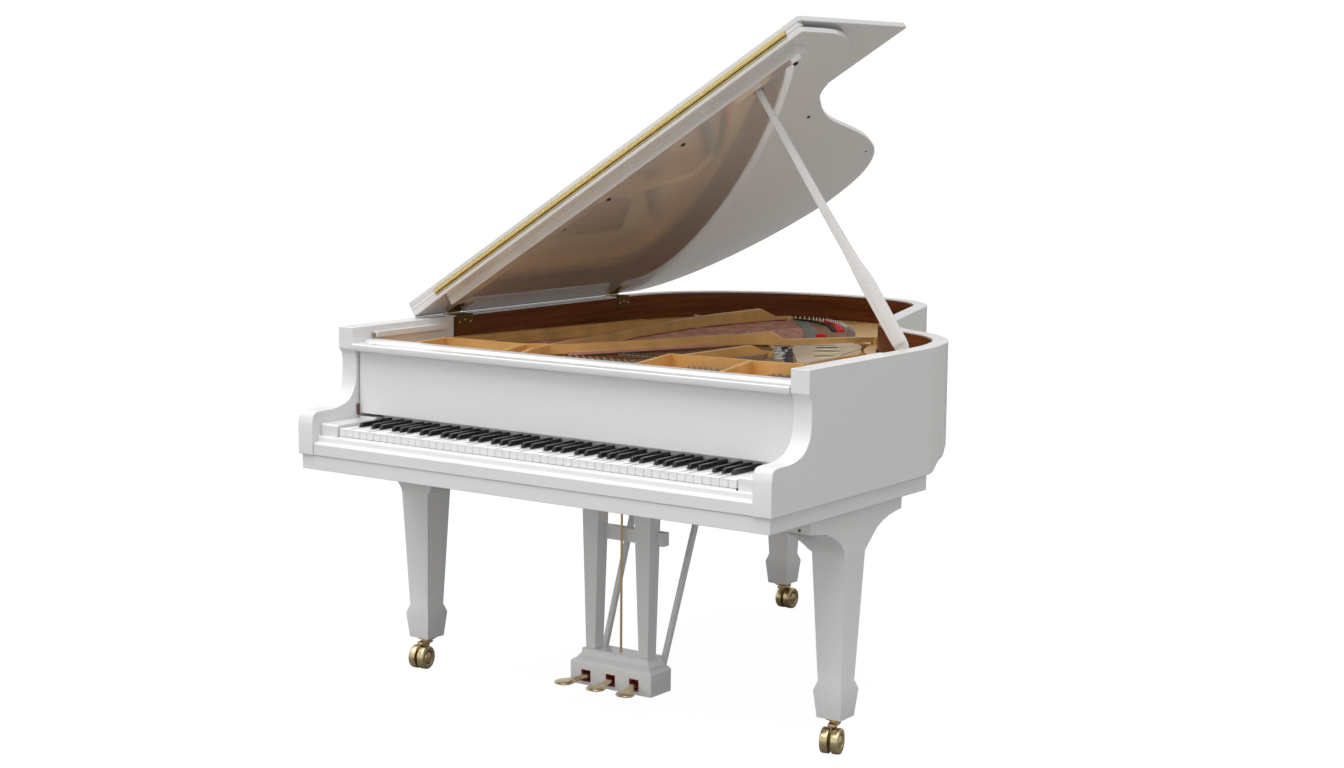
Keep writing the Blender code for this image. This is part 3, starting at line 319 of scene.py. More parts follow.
# ============================================================= mesh builder
class Piece:
    """Collects faces for one piece; points are given in the frame's numbers
    after self.at has placed them."""

    def __init__(self, at=W):
        self.v, self.f, self.m, self.uv, self.at = [], [], [], [], at

    def rings(self, rings, mat=0, cap0=True, cap1=True, closed=True, place=True, uv=None):
        base = len(self.v)
        n = len(rings[0])
        for r in rings:
            self.v += [self.at(*p) for p in r] if place else [tuple(p) for p in r]
        last = n if closed else n - 1
        for k in range(len(rings) - 1):
            for i in range(last):
                j = (i + 1) % n
                self.f.append((base + k * n + i, base + k * n + j, base + (k + 1) * n + j, base + (k + 1) * n + i))
                self.m.append(mat)
                self.uv.append(None if uv is None else (uv(k, i), uv(k, i + 1), uv(k + 1, i + 1), uv(k + 1, i)))
        if cap0 and closed:
            self.f.append(tuple(base + i for i in reversed(range(n))))
            self.m.append(mat)
            self.uv.append(None)
        if cap1 and closed:
            t = base + (len(rings) - 1) * n
            self.f.append(tuple(t + i for i in range(n)))
            self.m.append(mat)
            self.uv.append(None)
        return self

    def lathe(self, p, axis, profile, seg=24, mat=0, cap0=True, cap1=True, start=0.0):
        """Turned about the line through p: profile is (distance along, radius)."""
        p, d = Vector(p), Vector(axis).normalized()
        side = Vector((1, 0, 0)) if abs(d.x) < 0.9 else Vector((0, 1, 0))
        u = d.cross(side).normalized()
        w = d.cross(u)
        rs = []
        for t, r in profile:
            rs.append([tuple(p + d * t + r * (math.cos(start + 2 * math.pi * k / seg) * u
                                              + math.sin(start + 2 * math.pi * k / seg) * w)) for k in range(seg)])
        return self.rings(rs, mat, cap0, cap1)

    def tube(self, pts, radius, seg=6, mat=0, caps=True):
        """Round wire through the points; radius is one number or one per point."""
        pts = [Vector(p) for p in pts]
        rad = radius if isinstance(radius, (list, tuple)) else [radius] * len(pts)
        rs = []
        d0 = (pts[1] - pts[0]).normalized()
        up = Vector((0, 0, 1)) if abs(d0.z) < 0.9 else Vector((1, 0, 0))
        for k, p in enumerate(pts):
            a = pts[max(k - 1, 0)]
            b = pts[min(k + 1, len(pts) - 1)]
            d = (b - a).normalized()
            u = up.cross(d)
            if u.length < 1e-4:
                u = Vector((1, 0, 0)).cross(d)
            u.normalize()
            w = d.cross(u)
            rs.append([tuple(p + rad[k] * (math.cos(2 * math.pi * i / seg) * u + math.sin(2 * math.pi * i / seg) * w))
                       for i in range(seg)])
        return self.rings(rs, mat, caps, caps)

    def slab(self, outline, lo, hi, axis="z", r=0.001, r_lo=None, seg=3, mat=0, corner=0.0, corner_seg=3):
        """A flat shape with rounded edges, extruded along an axis. outline is
        (y, z) for axis x, (x, z) for axis y and (x, y) for axis z."""
        r_lo = r if r_lo is None else r_lo
        pts = rounded(outline, corner, corner_seg) if corner else list(outline)
        if area(pts) < 0:
            pts = pts[::-1]
        def put(p, t):
            if axis == "x":
                return (t, p[0], p[1])
            if axis == "y":
                return (p[0], t, p[1])
            return (p[0], p[1], t)
        prof = []
        if r_lo > 0:
            for k in range(seg + 1):
                a = math.pi / 2 * k / seg
                prof.append((lo + r_lo * (1 - math.sin(a)), r_lo * (1 - math.cos(a))))
            prof = prof[::-1]
            prof = [(lo + r_lo * (1 - math.cos(math.pi / 2 * k / seg)), r_lo * (1 - math.sin(math.pi / 2 * k / seg)))
                    for k in range(seg + 1)]
        else:
            prof = [(lo, 0.0)]
        if r > 0:
            prof += [(hi - r * (1 - math.sin(math.pi / 2 * k / seg)), r * (1 - math.cos(math.pi / 2 * k / seg)))
                     for k in range(seg + 1)]
        else:
            prof.append((hi, 0.0))
        normals = inward(pts)
        rs = []
        for t, inset in prof:
            rs.append([put((p[0] + n[0] * inset, p[1] + n[1] * inset), t) for p, n in zip(pts, normals)])
        return self.rings(rs, mat)

    def box(self, x0, x1, y0, y1, z0, z1, r=0.0008, mat=0, seg=2):
        """A small block with every edge rounded."""
        r = min(r, (x1 - x0) * 0.45, (y1 - y0) * 0.45, (z1 - z0) * 0.45)
        return self.slab([(x0, y0), (x1, y0), (x1, y1), (x0, y1)], z0, z1, "z", r, None, seg, mat, r, seg)

    def make(self, name, body, mats, slot=None, replaces=(), smooth=32.0, weld=True):
        me = bpy.data.meshes.new(name)
        me.from_pydata([tuple(p) for p in self.v], [], self.f)
        for m in mats:
            me.materials.append(MATS[m])
        me.polygons.foreach_set("material_index", self.m)
        if any(u is not None for u in self.uv):
            layer = me.uv_layers.new(name="grain")
            k = 0
            data = np.zeros((len(me.loops), 2), np.float32)
            for f, u in zip(self.f, self.uv):
                for c in range(len(f)):
                    if u is not None:
                        data[k] = u[c]
                    k += 1
            layer.data.foreach_set("uv", data.ravel())
        import bmesh
        bm = bmesh.new()
        bm.from_mesh(me)
        bmesh.ops.recalc_face_normals(bm, faces=bm.faces)
        bm.to_mesh(me)
        bm.free()
        me.validate()
        ob = bpy.data.objects.new(name, me)
        bpy.context.scene.collection.objects.link(ob)
        if smooth:
            me.shade_smooth()
            me.set_sharp_from_angle(angle=math.radians(smooth))
        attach(ob, body)
        if replaces:
            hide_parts(*replaces)
        return ob


def area(pts):
    return 0.5 * sum(a[0] * b[1] - b[0] * a[1] for a, b in zip(pts, pts[1:] + pts[:1]))


def rounded(outline, r, seg=3, sharp=20.0):
    """The outline with its corners rounded off to radius r."""
    out = []
    n = len(outline)
    for i in range(n):
        a, b, c = Vector(outline[i - 1]), Vector(outline[i]), Vector(outline[(i + 1) % n])
        u, w = (a - b), (c - b)
        lu, lw = u.length, w.length
        if lu < 1e-9 or lw < 1e-9:
            continue
        u, w = u / lu, w / lw
        turn = math.pi - math.acos(max(-1, min(1, u.dot(w))))
        if math.degrees(turn) < sharp:
            out.append(tuple(b))
            continue
        t = min(r * math.tan(turn / 2), lu * 0.45, lw * 0.45)
        rr = t / math.tan(turn / 2)
        p, q = b + u * t, b + w * t
        bis = (u + w).normalized()
        centre = b + bis * (rr / math.cos(turn / 2))
        a0 = math.atan2(p.y - centre.y, p.x - centre.x)
        a1 = math.atan2(q.y - centre.y, q.x - centre.x)
        d = (a1 - a0 + math.pi) % (2 * math.pi) - math.pi
        for k in range(seg + 1):
            t_ = a0 + d * k / seg
            out.append((centre.x + rr * math.cos(t_), centre.y + rr * math.sin(t_)))
    return out


def inward(pts):
    """For each corner of an anticlockwise outline, how far it moves inwards
    when each side moves in by one."""
    out = []
    n = len(pts)
    for i in range(n):
        a, b, c = pts[i - 1], pts[i], pts[(i + 1) % n]
        d1 = (b[0] - a[0], b[1] - a[1])
        d2 = (c[0] - b[0], c[1] - b[1])
        l1, l2 = math.hypot(*d1) or 1e-9, math.hypot(*d2) or 1e-9
        n1 = (-d1[1] / l1, d1[0] / l1)
        n2 = (-d2[1] / l2, d2[0] / l2)
        sx, sy = n1[0] + n2[0], n1[1] + n2[1]
        k = (sx * sx + sy * sy) / 2
        k = max(k, 0.25)
        out.append((sx / k, sy / k))
    return out


def rim_path(step=2.0):
    x, y, head = HALF_W, SIDE_STRAIGHT, 90.0
    raw = [(x, y, head)]
    for length, turn in RIM_BENDS:
        n = max(2, int(round(abs(turn) / step)), int(length / 0.05))
        for k in range(n):
            mid = head + turn / n / 2
            x += length / n * math.cos(math.radians(mid))
            y += length / n * math.sin(math.radians(mid))
            head += turn / n
            raw.append((x, y, head))
    xe, ye = raw[-1][0], raw[-1][1]
    kx = (-2 * HALF_W) / (xe - HALF_W)
    ky = (TAIL_SPINE - SIDE_STRAIGHT) / (ye - SIDE_STRAIGHT)
    out = []
    for px, py, h in raw:
        tx, ty = math.cos(math.radians(h)) * kx, math.sin(math.radians(h)) * ky
        ln = math.hypot(tx, ty)
        out.append((HALF_W + (px - HALF_W) * kx, SIDE_STRAIGHT + (py - SIDE_STRAIGHT) * ky, -ty / ln, tx / ln))
    return out


def rim_offset(d, y_right, y_left, step=2.0):
    pts = [(HALF_W - d, y_right)]
    pts += [(x + nx * d, y + ny * d) for x, y, nx, ny in rim_path(step)]
    pts.append((-HALF_W + d, y_left))
    return pts


def curve(pts, per=6):
    """Points on a smooth curve through pts, which keeps its two ends."""
    out = []
    n, dim = len(pts), len(pts[0])
    for i in range(n - 1):
        p0, p1, p2, p3 = pts[max(i - 1, 0)], pts[i], pts[i + 1], pts[min(i + 2, n - 1)]
        for k in range(per):
            t = k / per
            out.append(tuple(0.5 * (2 * p1[c] + (p2[c] - p0[c]) * t
                                    + (2 * p0[c] - 5 * p1[c] + 4 * p2[c] - p3[c]) * t * t
                                    + (3 * p1[c] - p0[c] - 3 * p2[c] + p3[c]) * t ** 3) for c in range(dim)))
    out.append(tuple(pts[-1]))
    return out


def screw_head(p, mat, x, y, z, axis, r=0.0030, h=0.0009, turn=0.6):
    """Countersunk slotted screw head, its slot cut as two half discs."""
    d = Vector(axis).normalized()
    side = Vector((1, 0, 0)) if abs(d.x) < 0.9 else Vector((0, 1, 0))
    u = d.cross(side).normalized()
    w = d.cross(u)
    c = Vector((x, y, z))
    for s in (0, 1):
        a0 = turn + s * math.pi
        rim = []
        for k in range(9):
            a = a0 + 0.20 + (math.pi - 0.40) * k / 8
            rim.append((math.cos(a), math.sin(a)))
        rs = []
        for t, rr in ((0.0, r), (h * 0.6, r * 0.97), (h, r * 0.80)):
            rs.append([tuple(c + d * t + (u * q[0] + w * q[1]) * rr) for q in rim])
        p.rings(rs, mat)
    p.lathe(tuple(c), tuple(d), [(0.0, r * 0.98), (h * 0.35, r * 0.96)], 18, mat)


# ====================================================== kept frame surfaces
def finish_node(name, mat, width=0.0, seg=3, angle=30.0, smooth=28.0):
    """Give a frame solid its material and rounded edges."""
    o = NODES[name]
    me = o.data
    me.materials.clear()
    me.materials.append(MATS[mat])
    if "custom_normal" in me.attributes:
        me.attributes.remove(me.attributes["custom_normal"])
    me.shade_smooth()
    w = o.modifiers.new("weld", "WELD")
    w.merge_threshold = 0.00002
    if width:
        d = o.modifiers.new("flat", "DECIMATE")
        d.decimate_type = "DISSOLVE"
        d.angle_limit = math.radians(0.4)
        b = o.modifiers.new("edge", "BEVEL")
        b.width = width
        b.segments = seg
        b.limit_method = "ANGLE"
        b.angle_limit = math.radians(angle)
        b.harden_normals = True
        b.miter_outer = "MITER_ARC"
    return o


for node, width in (("outer_rim", 0.0022), ("keybed", 0.0018), ("key_slip", 0.0012), ("cheek_left", 0.0016),
                    ("cheek_right", 0.0016), ("top_rail", 0.0010), ("desk_slide_left", 0.0010),
                    ("desk_slide_right", 0.0010), ("fallboard", 0.0010), ("leg_front_left", 0.0018),
                    ("leg_front_right", 0.0018), ("leg_rear", 0.0018), ("lyre_frame", 0.0014),
                    ("lyre_box", 0.0012), ("lyre_braces", 0.0012)):
    finish_node(node, "white_lacquer", width)
finish_node("lid_main", "lid_lacquer", 0.0028)
finish_node("lid_flap", "lid_lacquer", 0.0026)
finish_node("inner_rim", "beech_block", 0.0015)
finish_node("key_frame", "beech_block", 0.0015)
finish_node("soundboard", "spruce_board", 0.0)
# the plate's bevel faces take the pale edge colour, a painted highlight along its edges
plate_ob = finish_node("iron_plate", "plate_paint", 0.0024, 2)
plate_ob.data.materials.append(MATS["plate_edge_painted_highlight"])
plate_ob.modifiers["edge"].material = 1

# =================================================================== veneer
vp = Piece()
outer = rim_offset(RIM_T + 0.0003, ARM_END + 0.001, ARM_END + 0.001)
inner = rim_offset(RIM_T + VENEER_T, ARM_END + 0.001, ARM_END + 0.001)
run = [0.0]
for a, b in zip(inner, inner[1:]):
    run.append(run[-1] + math.hypot(b[0] - a[0], b[1] - a[1]))
prof = [(0.0, 0.842), (1.0, 0.842), (1.0, 0.9560), (0.75, 0.9570), (0.0, 0.9570)]
rows = []
for o_, i_ in zip(outer, inner):
    rows.append([(o_[0] + (i_[0] - o_[0]) * t, o_[1] + (i_[1] - o_[1]) * t, z) for t, z in prof])
cols = [0.0, 0.004, 0.118, 0.119, 0.122, 0.236]
vp.rings(rows, 0, uv=lambda k, i: (run[k], cols[i]))
vp.make("veneer_band", "case", ["mahogany_veneer"], "mahogany", ["rim_veneer"], 30)

# ================================================================= keyboard
KEY_PITCH, KEY_SLIT = 0.02356, 0.0009
BLACK_W, BLACK_FRONT, BLACK_BACK = 0.0108, 0.084, 0.200
BLACK_AT = {"Cs": 0.90, "Ds": 2.08, "Fs": 3.87, "Gs": 5.0, "As": 6.12}


def edge_x(i):
    return (i - 26) * KEY_PITCH


blacks = []
for octave in range(-1, 8):
    for nm in ("Cs", "Ds", "Fs", "Gs", "As"):
        at = edge_x(2 + 7 * octave) + BLACK_AT[nm] * KEY_PITCH
        if edge_x(0) < at < edge_x(51):
            blacks.append((at, octave, nm))


def white_key(p, i, rnd):
    """One white key: moulded top with a lip over a plain body and wooden stick."""
    s, room = KEY_SLIT / 2, BLACK_W / 2 + 0.0011
    l, r = edge_x(i) + s, edge_x(i + 1) - s
    near_l = [b[0] for b in blacks if abs(b[0] - edge_x(i)) < 0.008]
    near_r = [b[0] for b in blacks if abs(b[0] - edge_x(i + 1)) < 0.008]
    lb = near_l[0] + room if near_l else l
    rb = near_r[0] - room if near_r else r
    y0, yb = 0.0335, BLACK_FRONT - 0.0012

    def plan(d, front, back):
        pts = [(l + d, front), (r - d, front)]
        if near_r:
            pts += [(r - d, yb - d), (rb - d, yb - d)]
        pts += [(rb - d, back), (lb + d, back)]
        if near_l:
            pts += [(lb + d, yb - d), (l + d, yb - d)]
        return pts
    dz = rnd.uniform(-0.00012, 0.00004)
    p.slab(plan(0.00005, y0, 0.2046), 0.7112, 0.7140 + dz, "z", 0.0010, 0.0003, 3, 0, 0.0007, 3)
    p.slab(plan(0.0004, y0 + 0.0003, 0.2046), 0.6940, 0.7112, "z", 0.0, 0.0, 1, 0, 0.0006, 2)
    p.slab([(lb + 0.0006, 0.2050), (rb - 0.0006, 0.2050), (rb - 0.0006, 0.2995), (lb + 0.0006, 0.2995)],
           0.6935, 0.7105, "z", 0.0006, 0.0004, 2, 1, 0.0008, 2)


def black_key(p, x):
    """One black key: domed, tapered block with a rounded sloping nose."""
    rs = []
    steps = [(0.0840, 0.0015), (0.0843, 0.35), (0.0850, 0.62), (0.0863, 0.82), (0.0880, 0.93), (0.0905, 0.985),
             (0.0945, 1.0), (0.12, 1.0), (0.16, 1.0), (0.1985, 1.0), (0.1995, 0.985), (0.2000, 0.95)]
    lo, top = 0.7030, 0.7259
    for y, k in steps:
        zt = lo + 0.0006 + (top - lo - 0.0006) * k
        w0 = BLACK_W / 2
        ring = []
        wt = w0 - 0.0012 * k
        rr = 0.0016 * min(1.0, k + 0.15)
        zs = [(w0, lo), (w0 - 0.0002 * k, lo + (zt - lo) * 0.5)]
        for q in range(5):
            a = math.pi / 2 * q / 4
            zs.append((wt - rr * (1 - math.cos(a)), zt - rr * (1 - math.sin(a)) if zt - rr > lo else zt))
        ring = [(x + a, y, b) for a, b in zs] + [(x - a, y, b) for a, b in reversed(zs)]
        rs.append(ring)
    p.rings(rs, 0)
    p.slab([(x - 0.0050, 0.2004), (x + 0.0050, 0.2004), (x + 0.0050, 0.2995), (x - 0.0050, 0.2995)],
           0.7040, 0.7175, "z", 0.0006, 0.0004, 2, 1, 0.0008, 2)


rnd = random.Random(7)
for nm, body, first, last in (("keys_white_bass", "bass_whites", 0, 22), ("keys_white_treble", "treble_whites", 30, 51)):
    p = Piece()
    for i in range(first, last + 1):
        white_key(p, i, rnd)
    p.make("ivories_" + body, body, ["key_ivory", "key_wood"], "key_white", [nm], 30)
for k, nm in enumerate("CDEFGAB"):
    p = Piece()
    white_key(p, 23 + k, rnd)
    p.make("ivory_%s4" % nm, "key_%s4" % nm, ["key_ivory", "key_wood"], "key_white", ["key_%s4" % nm], 30)
for nm, body, pick in (("keys_black_bass", "bass_blacks", lambda o: o < 3), ("keys_black_treble", "treble_blacks", lambda o: o > 3)):
    p = Piece()
    for b in blacks:
        if pick(b[1]):
            black_key(p, b[0])
    p.make("sharps_" + body, body, ["key_ebony", "key_wood"], "key_black", [nm], 40)
for b in blacks:
    if b[1] == 3:
        p = Piece()
        black_key(p, b[0])
        p.make("sharp_%s4" % b[2], "key_%s4" % b[2], ["key_ebony", "key_wood"], "key_black", ["key_%s4" % b[2]], 40)

# ============================================================ hinges on lid
SX = 0.64
p = Piece(L)
q = Piece(L)
AX_Y, AX_N = 0.446, 0.0215
s = 0.107
k = 0
while s < 1.4109:
    e = min(s + 0.0262, 1.411)
    (p if k % 2 == 0 else q).lathe((s + 0.0002, AX_Y, AX_N), (1, 0, 0),
                                   [(0, 0.0034), (0.0004, 0.0039), (e - s - 0.0008, 0.0039), (e - s - 0.0004, 0.0034)], 16)
    s, k = e, k + 1
p.lathe((0.1065, AX_Y, AX_N), (1, 0, 0), [(0, 0.0012), (0.0006, 0.0020), (1.3040, 0.0020), (1.3048, 0.0012)], 12)
# rear leaf and its screws in the darker gold: painted shade
p.slab([(0.107, 0.0104), (1.411, 0.0104), (1.411, 0.0155), (0.107, 0.0155)], 0.4463, 0.4471, "y", 0.0002, None, 1, 1)
q.slab([(0.107, 0.0262), (1.411, 0.0262), (1.411, 0.0303), (0.107, 0.0303)], 0.4463, 0.4471, "y", 0.0002, None, 1)
at = 0.125
while at < 1.405:
    screw_head(p, 1, at, 0.4463, 0.0130, (0, -1, 0), 0.0019, 0.0006, at * 9)
    screw_head(q, 0, at, 0.4463, 0.0282, (0, -1, 0), 0.0016, 0.0006, at * 5)
    at += 0.0515
p.make("long_hinge_rear", "lid", ["hinge_gold", "hinge_gold_painted_shade"], "brass", ["flap_hinge_rear_leaf"], 35)
q.make("long_hinge_front", "front_flap", ["hinge_gold"], "brass", ["flap_hinge_front_leaf"], 35)

# white filler strips in the gap past the hinge's two ends
p = Piece(L)
for s0, s1 in ((0.0050, 0.1058), (1.4122, 1.4535)):
    p.slab([(s0, 0.4478), (s1, 0.4478), (s1, 0.4640), (s0, 0.4640)], 0.0167, 0.0263, "z", 0.0003, None, 1)
p.make("hinge_end_fillers", "lid", ["white_lacquer"], "white_lacquer", (), 35)

for nm, y0, y1 in (("front", 0.577, 0.645), ("rear", 1.328, 1.388)):
    face = -HALF_W + RIM_T + VENEER_T + 0.0003
    p = Piece()
    # rim leaf in the darkened brass: painted shade; the lid leaf stays plain brass
    p.slab([(y0, 0.9265), (y1, 0.9265), (y1, 0.9610), (y0, 0.9610)], face, face + 0.0021, "x", 0.0003, None, 1, 0, 0.003, 3)
    p.slab([(LID_X + 0.001, y0), (face + 0.0021, y0), (face + 0.0021, y1), (LID_X + 0.001, y1)], 0.9613, 0.9620, "z", 0.0002, None, 1)
    n = 5
    for k in range(n):
        a, b = y0 + (y1 - y0) * k / n + 0.0002, y0 + (y1 - y0) * (k + 1) / n - 0.0002
        p.lathe((LID_X, a, LID_Z - 0.0001), (0, 1, 0), [(0, 0.0021), (0.0003, 0.0025), (b - a - 0.0003, 0.0025), (b - a, 0.0021)], 16, 1)
    for k in range(3):
        screw_head(p, 1, face + 0.0021, y0 + (y1 - y0) * (k + 0.5) / 3, 0.9400 + (0.006 if k % 2 else 0), (1, 0, 0), 0.0030, 0.0006, k)
    p.make("butt_%s_rim" % nm, "case", ["hinge_leaf_painted_shade", "hinge_gold", "hinge_gold_painted_shade"], "brass", ["hinge_%s_rim_leaf" % nm], 35)
    p = Piece(L)
    p.slab([(0.0080, y0), (0.064, y0), (0.064, y1), (0.0080, y1)], -0.0019, -0.0003, "z", 0.0003, None, 1, 0, 0.004, 3)
    for k in range(3):
        screw_head(p, 0, 0.024 + 0.013 * (k % 2) + 0.012 * (k // 2), y0 + (y1 - y0) * (k + 0.5) / 3, -0.0019, (0, 0, -1), 0.0030, 0.0006, k)
    p.make("butt_%s_lid" % nm, "lid", ["brass"], "brass", ["hinge_%s_lid_leaf" % nm], 35)

# lips that close the slit between the lid and the spine, white lacquer coloured mid grey as painted shade under the lid
p, q = Piece(), Piece(L)
for y0, y1 in ((0.452, 0.574), (0.648, 1.325)):
    p.box(-0.7265, -0.7235, y0, y1, 0.9606, 0.9622, 0.0003)
    q.slab([(0.0044, y0), (0.0080, y0), (0.0080, y1), (0.0044, y1)], -0.0018, 0.0004, "z", 0.0003, None, 1)
p.make("spine_lip", "case", ["lip_painted_shade"], "white_lacquer", (), 35)
q.make("lid_lip", "lid", ["lip_painted_shade"], "white_lacquer", (), 35)

# ===================================================== bumpers and cup
p = Piece(L)
for s, y, k in ((1.318, 0.604, 0.86), (1.061, 1.026, 0.58), (0.862, 1.629, 0.36), (0.926, 0.601, 0.80), (0.643, 0.607, 0.80), (0.483, 0.589, 0.80)):
    p.lathe((s, y, 0.0), (0, 0, -1), [(-0.0005, 0.0075 * k), (0.0006, 0.0082 * k), (0.0030 * k, 0.0080 * k), (0.0046 * k, 0.0068 * k),
                                      (0.0054 * k, 0.0045 * k), (0.0056 * k, 0.0018 * k)], 24)
p.make("lid_bumpers", "lid", ["rubber_black"], "white_lacquer", (), 50)
p = Piece(L)
p.lathe((1.450, 0.860, 0.0412), (0, 0, 1), [(-0.0006, 0.0062), (0.0006, 0.0066), (0.0040, 0.0060), (0.0050, 0.0036)], 20)
p.make("flap_bumper", "front_flap", ["rubber_white"], "white_lacquer", (), 50)
p = Piece(L)
cup_s, cup_y = 1.193, 0.6055
p.lathe((cup_s, cup_y, 0.0), (0, 0, -1), [(-0.0006, 0.0165), (0.0006, 0.0168), (0.0014, 0.0160), (0.0020, 0.0135),
                                          (0.0020, 0.0118), (0.0006, 0.0112), (-0.0020, 0.0108)], 40, cap1=True)
for a in (0.6, 2.7, 4.8):
    screw_head(p, 0, cup_s + 0.0143 * math.cos(a), cup_y + 0.0143 * math.sin(a), -0.0014, (0, 0, -1), 0.0013, 0.0004, a)
p.make("prop_cup", "lid", ["brass_dull"], "brass", (), 35)
# ===================================================================== prop
base, tip = Vector((0.671, 0.6936, 0.9477)), Vector((0.2831, 0.6055, 1.5863))
lean = Vector((tip.x - base.x, tip.y - base.y, 0.0))
e1 = lean.normalized()
e3 = Vector((0, 0, 1))
e2 = e3.cross(e1)
rise = math.atan2(tip.z - base.z, lean.length)
pu = e1 * math.cos(rise) + e3 * math.sin(rise)
pw = e3 * math.cos(rise) - e1 * math.sin(rise)
lid_n = Vector((-SL, 0.0, CL))
hinge_pt = Vector((LID_X, 0.0, LID_Z))


def reach(sw, se):
    start = base + pw * sw + e2 * se
    return ((hinge_pt - start).dot(lid_n) - 0.0006) / pu.dot(lid_n)


def prop_ring(t, w0, w1, half, groove=0.0, end=False):
    """Cross-section with rounded corners and a groove down each side."""
    r = min(0.0016, half * 0.4)
    wm = w0 + (w1 - w0) * 0.30
    gw = 0.0014
    side = [(half, w0 + r), (half, wm - gw), (half - groove, wm - gw + min(groove, 0.0005)),
            (half - groove, wm + gw - min(groove, 0.0005)), (half, wm + gw), (half, w1 - r)]
    ring = []
    for k in range(4):
        a = -math.pi / 2 + math.pi / 2 * k / 4
        ring.append((half - r + r * math.cos(a), w0 + r + r * math.sin(a)))
    ring += side
    for k in range(1, 5):
        a = math.pi / 2 * k / 4
        ring.append((half - r + r * math.cos(a), w1 - r + r * math.sin(a)))
    ring = ring + [(-e, w) for e, w in reversed(ring)]
    out = []
    for e, w in ring:
        d = reach(w, e) if end else t
        out.append(tuple(base + pu * d + pw * w + e2 * e))
    return out


p = Piece()
length = (tip - base).length
stations = [(-0.0095, -0.0095, 0.0018, 0.0052, 0.0), (-0.0086, -0.0120, 0.0044, 0.0054, 0.0), (-0.0052, -0.0156, 0.0078, 0.0055, 0.0),
            (0.0, -0.0172, 0.0108, 0.0055, 0.0), (0.0100, -0.0176, 0.0157, 0.0055, 0.0), (0.0180, -0.0176, 0.0173, 0.0055, 0.0),
            (0.0225, -0.0177, 0.0174, 0.0072, 0.0), (0.026, -0.0178, 0.0176, 0.0084, 0.0), (0.030, -0.0181, 0.0178, 0.0085, 0.0), (0.050, -0.0183, 0.0181, 0.0085, 0.0),
            (0.052, -0.0183, 0.0181, 0.0085, 0.0018), (0.120, -0.0174, 0.0195, 0.0085, 0.0018), (0.187, -0.0167, 0.0210, 0.0085, 0.0018),
            (0.1885, -0.0167, 0.0209, 0.0085, 0.0), (0.205, -0.0161, 0.0201, 0.0085, 0.0), (0.218, -0.0153, 0.0187, 0.0085, 0.0),
            (0.232, -0.0144, 0.0167, 0.0084, 0.0), (0.247, -0.0133, 0.0148, 0.0083, 0.0), (0.262, -0.0124, 0.0135, 0.0082, 0.0),
            (0.280, -0.0118, 0.0127, 0.0081, 0.0), (0.305, -0.0112, 0.0118, 0.0080, 0.0), (0.400, -0.0105, 0.0096, 0.0080, 0.0),
            (0.500, -0.0090, 0.0093, 0.0080, 0.0), (0.580, -0.0074, 0.0090, 0.0080, 0.0), (length - 0.030, -0.0056, 0.0080, 0.0080, 0.0)]
rs = [prop_ring(*st) for st in stations]
rs.append(prop_ring(0.0, -0.0050, 0.0078, 0.0078, 0.0, True))
p.rings(rs, 0)
for sgn in (-1, 1):
    p.lathe(tuple(base + e2 * sgn * 0.0052), tuple(e2 * sgn), [(0, 0.0052), (0.0006, 0.0050), (0.0007, 0.0044)], 24, 1)
p.make("lid_prop_stick", "prop", ["white_lacquer", "brass"], "white_lacquer", ["lid_prop"], 35)

p = Piece()
plate_x = HALF_W - RIM_T - VENEER_T - 0.0022
p.box(0.6405, plate_x, 0.6645, 0.7135, 0.9143, 0.9260, 0.0014)
for sgn in (-1, 1):
    c0, c1 = base + e2 * sgn * 0.0063, base + e2 * sgn * 0.0098
    rs = []
    for off in (0.0, 1.0):
        c = c0 + (c1 - c0) * off
        ring = []
        for k in range(13):
            a = math.pi * k / 12
            ring.append(tuple(c + e1 * (0.0078 * math.cos(a)) + Vector((0, 0, 0.0004 + 0.0076 * math.sin(a)))))
        ring += [tuple(c - e1 * 0.0078 + Vector((0, 0, -0.0225))), tuple(c + e1 * 0.0078 + Vector((0, 0, -0.0225)))]
        rs.append(ring)
    p.rings(rs, 0)
    p.lathe(tuple(c1 - e2 * sgn * 0.0004), tuple(e2 * sgn), [(0, 0.0040), (0.0012, 0.0036), (0.0016, 0.0022)], 20)
p.lathe(tuple(base - e2 * 0.0096), tuple(e2), [(0, 0.0036), (0.0192, 0.0036)], 16)
for yy in (0.6695, 0.7085):
    screw_head(p, 0, 0.6475, yy, 0.9260, (0, 0, 1), 0.0026, 0.0006, yy * 40)
p.make("prop_foot", "case", ["brass_dull"], "brass", ["prop_bracket"], 35)

